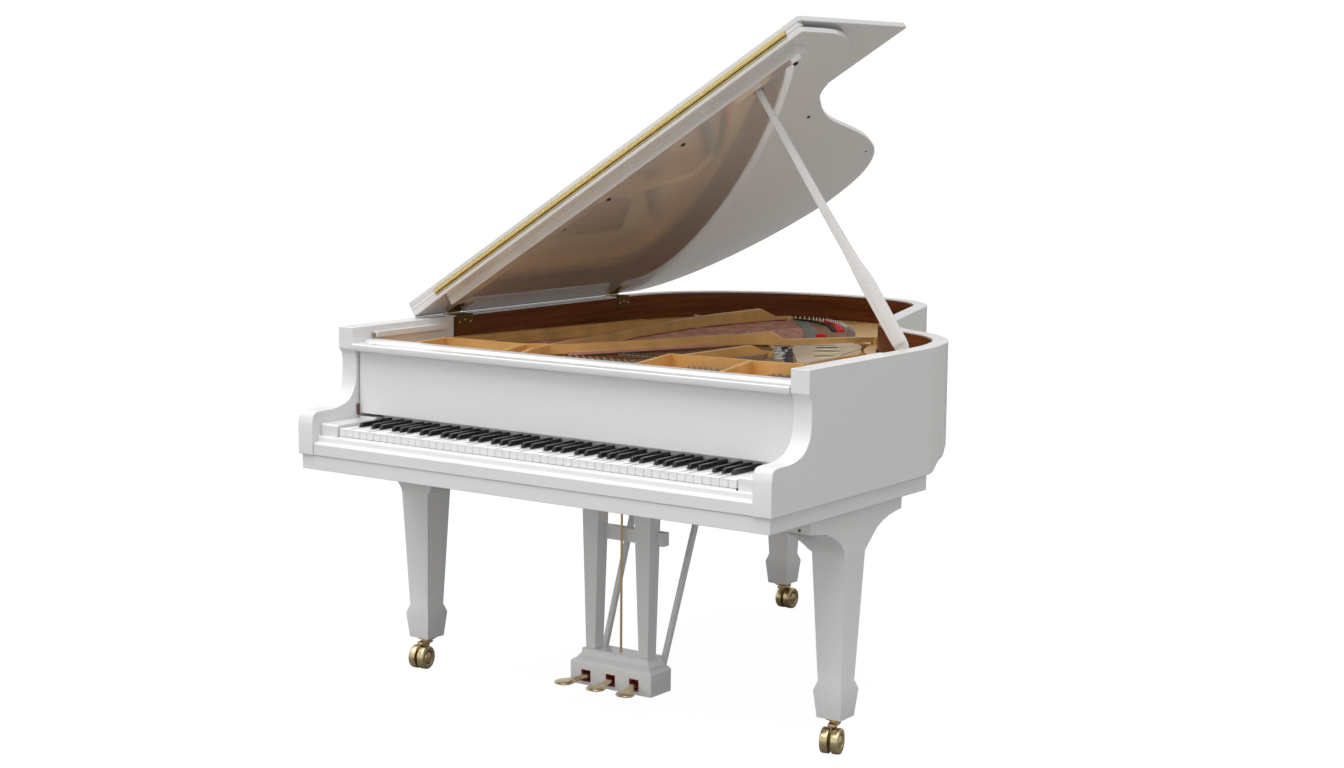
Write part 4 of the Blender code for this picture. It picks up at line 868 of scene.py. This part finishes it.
# ================================================================== casters
LEG_X, LEG_Y = 0.656, 0.4156
for cx, cy, nm, turn in ((-LEG_X, LEG_Y, "front_left", -172.0), (LEG_X, LEG_Y, "front_right", -165.0), (-0.235, 1.590, "rear", 0.0)):
    et = Vector((-math.sin(math.radians(turn)), math.cos(math.radians(turn)), 0.0))
    ea = Vector((abs(et.y), -et.x if et.y > 0 else et.x, 0.0))
    R, TRAIL = 0.032, 0.026
    swivel = Vector((cx, cy, 0.0))

    def at(t, a, z):
        q = swivel + et * t + ea * a
        return (q.x, q.y, z)

    p = Piece()
    for sgn in (-1, 1):
        prof = [(0.0032, 0.0060), (0.0032, 0.0270), (0.0036, 0.0298), (0.0046, 0.0314), (0.0060, 0.0320), (0.0192, 0.0320),
                (0.0214, 0.0317), (0.0230, 0.0306), (0.0240, 0.0290), (0.0243, 0.0272), (0.0240, 0.0250), (0.0236, 0.0200),
                (0.0232, 0.0186), (0.0214, 0.0180), (0.0208, 0.0172), (0.0208, 0.0156), (0.0216, 0.0148), (0.0238, 0.0140),
                (0.0246, 0.0122), (0.0246, 0.0086), (0.0252, 0.0078), (0.0258, 0.0062), (0.0261, 0.0036), (0.0261, 0.0010)]
        p.lathe(at(TRAIL, 0.0, R), (sgn * ea.x, sgn * ea.y, 0), prof, 64, 0, cap0=True)
        p.lathe(at(TRAIL, sgn * 0.0206, R), (sgn * ea.x, sgn * ea.y, 0), [(0.0, 0.0182), (0.0006, 0.0181), (0.0006, 0.0154), (0.0, 0.0150)], 64, 1)
    p.lathe(at(TRAIL, -0.0034, R), (ea.x, ea.y, 0), [(0, 0.0060), (0.0068, 0.0060)], 32)
    p.make("wheel_pair_" + nm, "wheel_" + nm, ["brass_caster", "slot_shadow"], "brass", ["caster_wheel_" + nm], 30)
    p = Piece()
    p.lathe((cx, cy, 0.0790), (0, 0, 1), [(0.0, 0.0236), (0.0006, 0.0250), (0.0016, 0.0255), (0.0042, 0.0255), (0.0052, 0.0250), (0.0057, 0.0240)], 48)
    p.lathe((cx, cy, 0.0700), (0, 0, 1), [(0.0, 0.0112), (0.0012, 0.0128), (0.0050, 0.0130), (0.0072, 0.0136), (0.0090, 0.0160)], 40)
    plan = curve([(-0.012, -0.0118), (-0.0132, -0.0100), (-0.0138, 0.0), (-0.0132, 0.0100), (-0.012, 0.0118)], 4)
    plan = plan + [(0.004, 0.0118)] + curve([(TRAIL + 0.004, 0.0098), (TRAIL + 0.0098, 0.0080), (TRAIL + 0.0118, 0.0), (TRAIL + 0.0098, -0.0080), (TRAIL + 0.004, -0.0098)], 4) + [(0.004, -0.0118)]
    p.rings([[at(t * k, a * k, z) for t, a in plan] for z, k in ((0.0662, 0.94), (0.0670, 0.985), (0.0680, 1.0), (0.0724, 1.0), (0.0734, 0.985), (0.0740, 0.95))], 0)
    web = [(-0.012, 0.0690), (-0.0105, 0.0570)] + curve([(0.004, 0.0420), (TRAIL - 0.012, 0.0280), (TRAIL - 0.0072, 0.0216), (TRAIL, 0.0202), (TRAIL + 0.0072, 0.0218), (TRAIL + 0.0114, 0.0300), (TRAIL + 0.0116, 0.0480)], 4) + [(TRAIL + 0.0114, 0.0690)]
    p.rings([[at(t, a, z) for t, z in web] for a in (-0.0023, 0.0023)], 0)
    p.make("caster_horn_" + nm, "fork_" + nm, ["brass_caster"], "brass", ["caster_fork_" + nm], 32)

# ===================================================================== lyre
PEDAL_X, TIP_X = (-0.079, 0.0, 0.075), (-0.105, -0.002, 0.092)
ROD_Y = (0.4515, 0.430, 0.4515)
for k, nm in enumerate(("left", "middle", "right")):
    x, bend, zc = PEDAL_X[k], TIP_X[k] - PEDAL_X[k], 0.0735
    back = ROD_Y[k] + 0.0062
    keys = [(back, 0.0, 0.0080, -0.0046, 0.0026), (0.425, 0.0, 0.0086, -0.0048, 0.0036), (0.400, 0.0, 0.0088, -0.0048, 0.0046),
            (0.378, 0.02, 0.0094, -0.0058, 0.0036), (0.362, 0.35, 0.0108, -0.0086, 0.0002), (0.348, 0.72, 0.0168, -0.0112, -0.0033),
            (0.334, 0.94, 0.0240, -0.0124, -0.0044), (0.322, 1.00, 0.0260, -0.0129, -0.0054), (0.3125, 1.00, 0.0222, -0.0129, -0.0064),
            (0.3072, 1.00, 0.0160, -0.0127, -0.0074), (0.3053, 1.00, 0.0105, -0.0122, -0.0082)]
    rows = []
    for y, b, h, z0, z1 in curve(keys, 5):
        m, hz = (z0 + z1) / 2, (z1 - z0) / 2
        ring = []
        for i in range(28):
            a = 2 * math.pi * i / 28
            c, s_ = math.cos(a), math.sin(a)
            e = 0.42
            ring.append((x + b * bend + h * math.copysign(abs(c) ** e, c), y, zc + m + hz * math.copysign(abs(s_) ** 0.75, s_) + (0.0008 * (1 - c * c) if s_ > 0 else 0)))
        rows.append(ring)
    p = Piece()
    p.rings(rows, 0)
    p.lathe((x - 0.0208, 0.410, zc), (1, 0, 0), [(0, 0.0026), (0.0004, 0.0030), (0.0412, 0.0030), (0.0416, 0.0026)], 20)
    p.make("pedal_%s_blade" % nm, "pedal_" + nm, ["brass_pedal"], "brass", ["pedal_" + nm], 45)
    p = Piece()
    y = ROD_Y[k]
    p.lathe((x, y, zc + 0.0036), (0, 0, 1), [(0, 0.0020), (0.0008, 0.0032), (0.0040, 0.0032), (0.5400, 0.0032), (0.5440, 0.0030), (0.5482, 0.0018)], 20)
    p.make("pedal_rod_%s_bar" % nm, "rod_" + nm, ["brass"], "brass", ["pedal_rod_" + nm], 40)

# ====================================================== felt bushes in lyre box
p = Piece()
for x in PEDAL_X:
    w, z0, z1, y = 0.0150, 0.0570, 0.0885, 0.3842
    t = 0.0022
    o_ = rounded([(x - w, z0), (x + w, z0), (x + w, z1), (x - w, z1)], 0.0010, 2)
    i_ = rounded([(x - w + t, z0 + t), (x + w - t, z0 + t), (x + w - t, z1 - t), (x - w + t, z1 - t)], 0.0030, 2)
    rows = [[(a, y + 0.0015, b) for a, b in o_], [(a, y, b) for a, b in [(c[0] * 0.999 + x * 0.001, c[1]) for c in o_]],
            [(a, y, b) for a, b in i_], [(a, y + 0.020, b) for a, b in i_], [(a, y + 0.020, b) for a, b in o_]]
    p.rings(rows, 0, cap0=False, cap1=False)
p.make("pedal_felts", "case", ["crimson_felt"], "felt", (), 40)

# felt pads at the fallboard's ends
p = Piece()
for s in (-1, 1):
    xs = sorted((s * 0.6722, s * 0.6752))
    pts = [(0.1640, 0.7285), (0.1748, 0.7285), (0.1748, 0.7590), (0.1640, 0.7590)]
    p.slab(pts, xs[0], xs[1], "x", 0.0006, None, 2, 0, 0.005, 4)
p.make("fallboard_felts", "case", ["brown_felt"], "felt", (), 40)
# lacquered fillers behind the keys and between the key slip and the keys
p = Piece()
p.box(-0.6120, 0.6120, 0.2008, 0.2040, 0.7181, 0.7300, 0.0006)
for s in (-1, 1):
    xs = sorted((s * 0.6140, s * 0.6718))
    p.box(xs[0], xs[1], 0.1720, 0.2040, 0.7212, 0.7256, 0.0006)
p.box(-0.6120, 0.6120, 0.0311, 0.0321, 0.6750, 0.6936, 0.0002)
p.make("key_fillers", "case", ["white_lacquer"], "white_lacquer", (), 35)

# top rail trim and desk slide knobs
p = Piece()
p.box(-0.080, 0.036, 0.2010, 0.2040, 0.9205, 0.9222, 0.0004)
p.box(0.036, 0.042, 0.2000, 0.2048, 0.9205, 0.9230, 0.0008)
p.make("rail_trim", "case", ["brass_dull"], "brass", (), 35)
p = Piece()
for s in (-1, 1):
    x = s * 0.6677
    p.lathe((x, 0.2300, 0.9375), (0, -1, 0), [(-0.002, 0.0034), (0.0010, 0.0034), (0.0018, 0.0050), (0.0050, 0.0056), (0.0072, 0.0050), (0.0080, 0.0030)], 24)
p.make("desk_slide_knobs", "case", ["brass_dull"], "brass", (), 40)

# leg plate screws
p = Piece()
for s in (-1, 1):
    screw_head(p, 0, s * 0.672, 0.2098, 0.5768, (0, -1, 0), 0.0042, 0.0010, 0.5)
p.make("leg_plate_screws", "case", ["dark_screw"], "brass", (), 35)

# ================================================================== strings
def along(pts, t):
    """The point at a fraction of the way along an open polyline, and its direction."""
    d = [math.hypot(b[0] - a[0], b[1] - a[1]) for a, b in zip(pts, pts[1:])]
    left = t * sum(d)
    for (a, b), ln in zip(zip(pts, pts[1:]), d):
        if left <= ln or (a, b) == (pts[-2], pts[-1]):
            f = min(left / ln, 1.0)
            return (a[0] + (b[0] - a[0]) * f, a[1] + (b[1] - a[1]) * f, (b[0] - a[0]) / ln, (b[1] - a[1]) / ln)
        left -= ln


def first_hit(x, y, dx, dy, poly):
    """Where a line from (x, y) first crosses the open polyline."""
    best = None
    for (ax, ay), (bx, by) in zip(poly, poly[1:]):
        ex, ey = bx - ax, by - ay
        den = dx * ey - dy * ex
        if abs(den) < 1e-12:
            continue
        t = ((ax - x) * ey - (ay - y) * ex) / den
        u = ((ax - x) * dy - (ay - y) * dx) / den
        if t > 0.02 and -1e-9 <= u <= 1 + 1e-9 and (best is None or t < best):
            best = t
    return best


BASS_ARC = [(-0.318, 1.745), (-0.250, 1.762), (-0.187, 1.745), (-0.110, 1.695), (-0.035, 1.611), (0.035, 1.530),
            (0.092, 1.440), (0.135, 1.365)]
hitch_line = rim_offset(RIM_T + VENEER_T + 0.030, 0.66, 0.60, 3.0)
steel, copper, pins, hitch = Piece(), Piece(), Piece(), Piece()
bridge_pts = {"bass": [], "long": []}


def tuning_pin(x, y):
    prof = [(0, 0.0033), (0.0006, 0.0034), (0.0190, 0.0034), (0.0196, 0.0030), (0.0200, 0.0025), (0.0285, 0.0024), (0.0292, 0.0018)]
    pins.lathe((x, y, 0.8622), (0, 0, 1), prof, 8)
    for k in range(3):
        pins.lathe((x, y, 0.8755 + k * 0.0012), (0, 0, 1), [(0, 0.0040), (0.0005, 0.0045), (0.0010, 0.0040)], 8, 1, False, False)


rnd = random.Random(11)
for note in range(88):
    if note < 26:
        t, n = note / 25, (1 if note < 10 else 2)
        for c in range(n):
            off = (c - (n - 1) / 2)
            x0, y0 = -0.592 + 0.246 * t + off * 0.0034, 0.4560 + 0.010 * t
            ex, ey, tx, ty = along(BASS_ARC, t)
            ex, ey = ex + off * 0.0060 * tx, ey + off * 0.0060 * ty
            px, py = -0.5640 + 0.196 * t + off * 0.0060, 0.418 - 0.046 * (note % 3) - 0.020 * c - 0.016 * t
            z = 0.8843
            bx, by = x0 + (ex - x0) * 0.945, y0 + (ey - y0) * 0.945
            steel.tube([(px + 0.0034, py, 0.8790), (x0, y0 - 0.016, 0.8830), (x0, y0, z), (bx, by, z), (ex, ey, 0.8855)],
                       0.00065, 5)
            r = 0.0025 - 0.0012 * t
            stop = 0.973 - 0.31 * t if t < 0.30 else 0.886 - 0.068 * (t - 0.30) / 0.70
            a, b = Vector((x0, y0, z)), Vector((ex, ey, z))
            a, b = a + (b - a) * 0.02, a + (b - a) * stop
            copper.tube([tuple(a), tuple(a + (b - a) * 0.003), tuple(a + (b - a) * 0.997), tuple(b)], [r * 0.6, r, r, r * 0.6], 8)
            tuning_pin(px, py)
            bridge_pts["bass"].append((x0 + (ex - x0) * 0.925, y0 + (ey - y0) * 0.925))
        continue
    if note < 50:
        t = (note - 26) / 23
        x0, y0, slant = -0.255 + 0.318 * t, 0.512 + 0.006 * t, -0.235 + 0.075 * t
        px0, py0 = -0.236 + 0.266 * t, 0.512 - 0.010 * (note % 2)
        dx, dy = slant / math.hypot(slant, 1), 1 / math.hypot(slant, 1)
        end = min(first_hit(x0, y0, dx, dy, hitch_line), 1.12 - 0.36 * t)
    elif note < 69:
        t = (note - 50) / 18
        x0, y0 = 0.120 + 0.180 * t, 0.5540 + 0.004 * t
        px0, py0 = 0.150 + 0.150 * t, 0.512 + 0.010 * t - 0.010 * (note % 2)
        gx, gy = 0.030 + 0.170 * t, 1.125 - 0.235 * t
        end = math.hypot(gx - x0, gy - y0)
        dx, dy = (gx - x0) / end, (gy - y0) / end
    else:
        t = (note - 69) / 18
        x0, y0 = 0.338 + 0.170 * t, 0.572 + 0.004 * t
        px0, py0 = 0.400 + 0.210 * t, 0.528 + 0.012 * t - 0.010 * (note % 2)
        end = 0.250 - 0.150 * t
        dx, dy = -0.13 / math.hypot(0.13, 1), 1 / math.hypot(0.13, 1)
    z = 0.8808
    for c in range(3):
        off = c - 1
        x = x0 + off * 0.0034
        px, py = px0 + off * 0.0030, py0 - 0.024 * c
        e = (x + dx * end, y0 + dy * end)
        b = (x + dx * (end - 0.045), y0 + dy * (end - 0.045))
        steel.tube([(px + 0.0034, py, 0.8790), (x - dx * 0.03, y0 - 0.024, 0.8800), (x, y0, z), (b[0], b[1], z + 0.0006),
                    (e[0], e[1], 0.8765)], 0.00052 - 0.00010 * (note - 26) / 61, 5)
        tuning_pin(px, py)
        hitch.lathe((e[0], e[1], 0.8600), (0.0, 0.0, 1), [(0, 0.0024), (0.0180, 0.0024), (0.0190, 0.0012)], 8, 0)
    bridge_pts["long"].append((x0 + dx * (end - 0.055), y0 + dy * (end - 0.055)))
for k in range(44):
    ex, ey, tx, ty = along(BASS_ARC, k / 43)
    hitch.lathe((ex, ey, 0.8640), (0.0, 0.0, 1), [(0, 0.0026), (0.0190, 0.0026), (0.0200, 0.0021), (0.0294, 0.0021), (0.0304, 0.0014)], 10, 0 if k < 24 or k % 2 else 1)
steel.make("steel_strings", "case", ["string_wire"], "strings", ["strings"], 60)
copper.make("bass_windings", "case", ["copper_winding"], "strings", (), 60)
pins.make("tuning_pins", "case", ["tuning_steel", "blued_pin"], "strings", (), 40)
hitch.make("hitch_pins", "case", ["pin_head", "blued_pin"], "strings", (), 40)


def strip(p, pts, half, z0, z1, mat=0, bevel=0.0015):
    """A bar of even width along a line of points, its top edges bevelled."""
    rows = []
    for k, (x, y) in enumerate(pts):
        a, b = pts[max(k - 1, 0)], pts[min(k + 1, len(pts) - 1)]
        tx, ty = b[0] - a[0], b[1] - a[1]
        ln = math.hypot(tx, ty) or 1.0
        nx, ny = -ty / ln, tx / ln
        rows.append([(x + nx * o_, y + ny * o_, z) for o_, z in ((-half, z0), (half, z0), (half, z1 - bevel), (half - bevel, z1),
                                                                 (-half + bevel, z1), (-half, z1 - bevel))])
    return p.rings(rows, mat)


def on_string(t, f):
    """The point a fraction f of the way along the bass string at t."""
    ex, ey, tx, ty = along(BASS_ARC, t)
    x0, y0 = -0.592 + 0.246 * t, 0.4560 + 0.010 * t
    return (x0 + (ex - x0) * f, y0 + (ey - y0) * f)


def band(p, stations, z0, z1, mat=0, bevel=0.0012):
    """A flat bar across the bass strings: stations are (t, f from, f to)."""
    rows = []
    for t, f0, f1 in stations:
        a, b = on_string(t, f0), on_string(t, f1)
        rows.append([(*a, z0), (*b, z0), (*b, z1 - bevel), (*(b[c] + (a[c] - b[c]) * 0.06 for c in range(2)), z1),
                     (*(a[c] + (b[c] - a[c]) * 0.06 for c in range(2)), z1), (*a, z1 - bevel)])
    return p.rings(rows, mat)


p = Piece()
steps = [k / 14 for k in range(15)]
band(p, [(t, (0.973 - 0.31 * t if t < 0.30 else 0.886 - 0.068 * (t - 0.30) / 0.70) + 0.002,
          (0.985 - 0.28 * t if t < 0.30 else 0.906 - 0.060 * (t - 0.30) / 0.70) + 0.012) for t in steps], 0.8626, 0.8846)
band(p, [(t, (0.985 - 0.28 * t if t < 0.30 else 0.906 - 0.060 * (t - 0.30) / 0.70) + 0.013,
          (0.985 - 0.28 * t if t < 0.30 else 0.906 - 0.060 * (t - 0.30) / 0.70) + 0.020) for t in steps[2:]], 0.8626, 0.8838, 1)
p.make("bass_bridge", "case", ["bridge_stain", "bridge_rim"], "spruce", (), 35)
for k, part in enumerate((slice(0, 24), slice(24, 43), slice(43, 62))):
    p = Piece()
    strip(p, bridge_pts["long"][part], 0.0120, 0.8626, 0.8802)
    p.make("long_bridge_%d" % (k + 1), "case", ["bridge_wood"], "spruce", (), 35)

# dark band laid across the ends of the bass strings, and the pale bars
p = Piece()
band(p, [(0.04 + 0.60 * k / 10, 0.972 - 0.030 * k / 10, 0.980 - 0.026 * k / 10) for k in range(11)], 0.8830, 0.8890)
p.make("string_end_band", "case", ["dark_band_matte"], "felt", (), 40)
p = Piece()
strip(p, [(-0.2520, 0.5300), (-0.2000, 0.6480), (-0.1300, 0.8050), (-0.0500, 0.9780)], 0.0050, 0.8862, 0.8950)
p.make("strut_side_bar", "case", ["bar_pink"], "felt", (), 35)
p = Piece()
p.tube([(-0.0300, 1.0050, 0.8897), (-0.0290, 1.0065, 0.8920), (-0.0160, 1.0283, 0.9160), (-0.0150, 1.0300, 0.9180)], [0.0030, 0.0042, 0.0042, 0.0030], 12)
p.make("strut_joint", "case", ["pin_head"], "plate_gold", (), 40)

# rows of small blocks the treble strings pass through
p = Piece()
for row in range(5):
    for k in range(6):
        u, v = (k + 0.5) / 6, (row + 0.5) / 5
        bx = 0.0387 + (0.2175 - 0.0387) * v + (0.0277 + 0.003 * v) * u
        by = 1.0788 + (0.8199 - 1.0788) * v + (0.0552 - 0.0297 * v) * u
        tall = 0.8850 - 0.0012 * ((k + row) % 2)
        p.slab([(bx - 0.0019, by - 0.0095), (bx + 0.0019, by - 0.0095), (bx + 0.0019, by + 0.0095), (bx - 0.0019, by + 0.0095)],
               0.8700, tall, "z", 0.0005, 0.0, 1, 0 if k < 3 or (k + row) % 5 == 0 else 1)
p.make("treble_bridge_blocks", "case", ["block_pale", "block_dark"], "strings", (), 35)

# pale cheek of the plate; its cast slots are dark lenses of painted shadow with pale lips of painted highlight
p = Piece()
edge_ = rounded([(0.0801, 1.1038), (0.1625, 0.9876), (0.2450, 0.8660), (0.2820, 0.8700), (0.2840, 1.0589), (0.2690, 1.1660),
                 (0.2103, 1.2768), (0.1450, 1.3700), (0.0817, 1.2900), (0.0420, 1.2150), (0.0300, 1.1850)], 0.012, 4, 8.0)
p.slab(edge_, 0.8640, 0.8770, "z", 0.0006, 0.0, 1, 0)
rimmed = edge_[:3]
for (ax, ay), (bx, by), wide, lip in (((0.0934, 1.1991), (0.1505, 1.2567), 0.0180, 0.0300), ((0.1300, 1.1550), (0.1847, 1.2019), 0.0380, 0.0420),
                                      ((0.1600, 1.0800), (0.2324, 1.1352), 0.0240, 0.0400), ((0.2300, 0.9800), (0.2780, 1.0330), 0.0240, 0.0260)):
    ln = math.hypot(bx - ax, by - ay)
    ux, uy = (bx - ax) / ln, (by - ay) / ln
    nx, ny = -uy, ux
    for mat, lo_, hi_, top in ((1, 0.0, wide, 0.8773), (2, -lip, 0.0, 0.8776)):
        lens = []
        for k in range(9):
            f = k / 8
            lens.append((ax + ux * ln * f + nx * (lo_ if mat == 2 else 0.0) * math.sin(math.pi * f) ** 0.4,
                         ay + uy * ln * f + ny * (lo_ if mat == 2 else 0.0) * math.sin(math.pi * f) ** 0.4))
        for k in range(1, 8):
            f = 1 - k / 8
            lens.append((ax + ux * ln * f + nx * (hi_ if mat == 1 else 0.0005) * (math.sin(math.pi * f) ** 0.4 if mat == 1 else 1.0),
                         ay + uy * ln * f + ny * (hi_ if mat == 1 else 0.0005) * (math.sin(math.pi * f) ** 0.4 if mat == 1 else 1.0)))
        p.slab(lens, 0.8760, top, "z", 0.0, 0.0, 1, mat)
# dark ribs along the cheek's two edges: painted shade of the edge
p.tube([(0.0560, 1.1600, 0.8768), (0.0801, 1.1060, 0.8768), (0.1640, 0.9890, 0.8768), (0.2460, 0.8690, 0.8768)], 0.0022, 6, 3)
p.tube([(0.2130, 1.2790, 0.8768), (0.2350, 1.2300, 0.8768), (0.2600, 1.1200, 0.8768), (0.2760, 1.0500, 0.8768)], 0.0014, 6, 3)
p.make("plate_cheek_face", "case", ["panel_paint", "slot_shadow", "plate_edge_painted_highlight", "groove_painted_shade"], "plate_gold", (), 35)

# ================================================================== dampers
p = Piece()
for note in range(0, 70):
    x = -0.578 + 1.036 * note / 69
    if any(a - 0.006 < x < b + 0.006 for a, b in ((-0.332, -0.290), (-0.250, -0.177), (0.098, 0.138))):
        continue
    p.box(x - 0.0050, x + 0.0050, 0.6242, 0.6378, 0.8893, 0.8924, 0.0008, 1)
    p.slab([(0.6246, 0.8893), (0.6374, 0.8893), (0.6350, 0.8868), (0.6270, 0.8868)], x - 0.0044, x + 0.0044, "x", 0.0005, None, 1, 0)
    p.lathe((x, 0.6310, 0.7602), (0, 0, 1), [(0, 0.0011), (0.1290, 0.0011)], 8, 2)
p.box(-0.583, 0.463, 0.6297, 0.6323, 0.7602, 0.7680, 0.0004, 2)
p.make("damper_heads", "dampers", ["wool_felt", "key_ebony", "brass"], "felt", ["damper_set"], 35)

# red stringing felt in front of the hitch pins
p = Piece()
red_line = [on_string(0.22 + 0.44 * k / 10, 0.990 - 0.026 * k / 10) for k in range(11)]
for line, half in ((red_line, 0.0), ([(0.0010 + 0.0270 * k / 6, 1.4000 - 0.0420 * k / 6) for k in range(7)], 0.0155)):
    rows = []
    for k, (x, y) in enumerate(line):
        a, b = line[max(k - 1, 0)], line[min(k + 1, len(line) - 1)]
        ln = math.hypot(b[0] - a[0], b[1] - a[1])
        nx, ny = -(b[1] - a[1]) / ln, (b[0] - a[0]) / ln
        w = half * (0.75 if k in (0, len(line) - 1) else 1.0) if half else (0.0035 + 0.0115 * (k / 10) ** 1.5) * (0.7 if k == 10 else 1.0)
        rows.append([(x + nx * w * a_, y + ny * w * a_, 0.8868 + 0.0038 * h) for a_, h in
                     ((-1, -1), (1, -1), (1.05, 0.0), (0.8, 0.8), (0.3, 1.0), (-0.3, 1.0), (-0.8, 0.8), (-1.05, 0.0))])
    p.rings(rows, 0)
p.make("string_felts", "case", ["scarlet_felt"], "felt", (), 50)

# ============================================================ stage and light
floor_mat, nt, pr = principled("floor_paper", (0.06, 0.06, 0.06), 0.9, specular=0.0)
tone = ramp(nt, noise(nt, coords(nt), 1.3, 2.0), [(0.3, (0.058, 0.058, 0.058)), (0.7, (0.062, 0.062, 0.062))])
nt.links.new(tone, pr.inputs["Base Color"])
pr.inputs["Emission Color"].default_value = (1, 1, 1, 1)
pr.inputs["Emission Strength"].default_value = 0.97
under_mat, nt, pr = principled("floor_base", (0.27, 0.266, 0.26), 0.9, specular=0.1)
tone = ramp(nt, noise(nt, coords(nt), 1.1, 2.0), [(0.3, (0.267, 0.263, 0.257)), (0.7, (0.273, 0.269, 0.263))])
nt.links.new(tone, pr.inputs["Base Color"])
N_RING = 96
floors = []
for name, mat, z, radii in (("floor", floor_mat, 0.0, (4.0, 9.0, 16.0, 30.0)), ("floor_base_sheet", under_mat, -0.004, (4.0, 9.0, 16.0, 30.0))):
    me = bpy.data.meshes.new(name)
    fv = [(0, 0, z)]
    ff = []
    for rr in radii:
        fv += [(rr * math.cos(2 * math.pi * k / N_RING), rr * math.sin(2 * math.pi * k / N_RING), z) for k in range(N_RING)]
    for k in range(N_RING):
        ff.append((0, 1 + k, 1 + (k + 1) % N_RING))
    for j in range(len(radii) - 1):
        a, b = 1 + j * N_RING, 1 + (j + 1) * N_RING
        for k in range(N_RING):
            ff.append((a + k, b + k, b + (k + 1) % N_RING, a + (k + 1) % N_RING))
    me.from_pydata(fv, [], ff)
    me.materials.append(mat)
    ob = bpy.data.objects.new(name, me)
    bpy.context.scene.collection.objects.link(ob)
    floors.append(ob)
floor, floor_base = floors
floor.visible_diffuse = floor.visible_glossy = floor.visible_transmission = floor.visible_shadow = False
floor_base.visible_camera = False

# pale backdrop all round, which shows but throws no light on the piano
back_mat = bpy.data.materials.new("backdrop_glow")
back_mat.use_nodes = True
nt = back_mat.node_tree
nt.nodes.remove(nt.nodes["Principled BSDF"])
em = nt.nodes.new("ShaderNodeEmission")
em.inputs["Color"].default_value = (1, 1, 1, 1)
em.inputs["Strength"].default_value = 1.02
nt.links.new(em.outputs["Emission"], nt.nodes["Material Output"].inputs["Surface"])
me = bpy.data.meshes.new("backdrop")
fv, ff = [], []
for j, (rr, zz) in enumerate(((30.0, -0.02), (30.2, 2.0), (28.0, 12.0), (20.0, 22.0), (8.0, 28.0), (0.5, 29.0))):
    fv += [(rr * math.cos(2 * math.pi * k / N_RING), rr * math.sin(2 * math.pi * k / N_RING), zz) for k in range(N_RING)]
    if j:
        a, b = (j - 1) * N_RING, j * N_RING
        for k in range(N_RING):
            ff.append((a + k, a + (k + 1) % N_RING, b + (k + 1) % N_RING, b + k))
me.from_pydata(fv, [], ff)
me.materials.append(back_mat)
backdrop = bpy.data.objects.new("backdrop", me)
bpy.context.scene.collection.objects.link(backdrop)
backdrop.visible_diffuse = backdrop.visible_glossy = backdrop.visible_transmission = False
backdrop.visible_volume_scatter = backdrop.visible_shadow = False

world = bpy.data.worlds.new("studio")
bpy.context.scene.world = world
world.use_nodes = True
wn = world.node_tree
bg = wn.nodes["Background"]
tc = wn.nodes.new("ShaderNodeTexCoord")
facing = wn.nodes.new("ShaderNodeVectorMath")
facing.operation = "DOT_PRODUCT"
facing.inputs[1].default_value = (-0.62, -0.78, 0.10)
wn.links.new(tc.outputs["Generated"], facing.inputs[0])
wr = wn.nodes.new("ShaderNodeMapRange")
wr.inputs["From Min"].default_value = -1.0
wr.inputs["From Max"].default_value = 1.0
wr.inputs["To Min"].default_value = 0.52
wr.inputs["To Max"].default_value = 0.925
wn.links.new(facing.outputs["Value"], wr.inputs["Value"])
bg.inputs["Color"].default_value = (1.0, 0.995, 0.985, 1)
wn.links.new(wr.outputs["Result"], bg.inputs["Strength"])

sun = bpy.data.lights.new("overhead_softlight", "SUN")
sun.energy = 2.15
sun.angle = math.radians(55.0)
sun_ob = bpy.data.objects.new("overhead_softlight", sun)
bpy.context.scene.collection.objects.link(sun_ob)
sun_ob.rotation_euler = Vector((0.04, 0.30, -1.0)).to_track_quat("-Z", "Y").to_euler()

# =================================================================== camera
AZ, PITCH, ROLL, FOCAL = math.radians(35.07), math.radians(7.49), math.radians(0.56), 2174.77
fwd = Vector((-math.sin(AZ) * math.cos(PITCH), math.cos(AZ) * math.cos(PITCH), -math.sin(PITCH)))
right = Vector((math.cos(AZ), math.sin(AZ), 0.0))
up = right.cross(fwd)
right2 = right * math.cos(ROLL) + up * math.sin(ROLL)
up2 = up * math.cos(ROLL) - right * math.sin(ROLL)
cam = bpy.data.cameras.new("camera")
cam.sensor_width = 36.0
cam.lens = FOCAL * 36.0 / 1344.0
cam.clip_start, cam.clip_end = 0.1, 100.0
co = bpy.data.objects.new("camera", cam)
bpy.context.scene.collection.objects.link(co)
rot = Matrix((right2, up2, -fwd)).transposed()
co.matrix_world = Matrix.Translation((3.2754, -4.9392, 1.5651)) @ rot.to_4x4()
bpy.context.scene.camera = co
bpy.context.scene.view_settings.view_transform = "Standard"
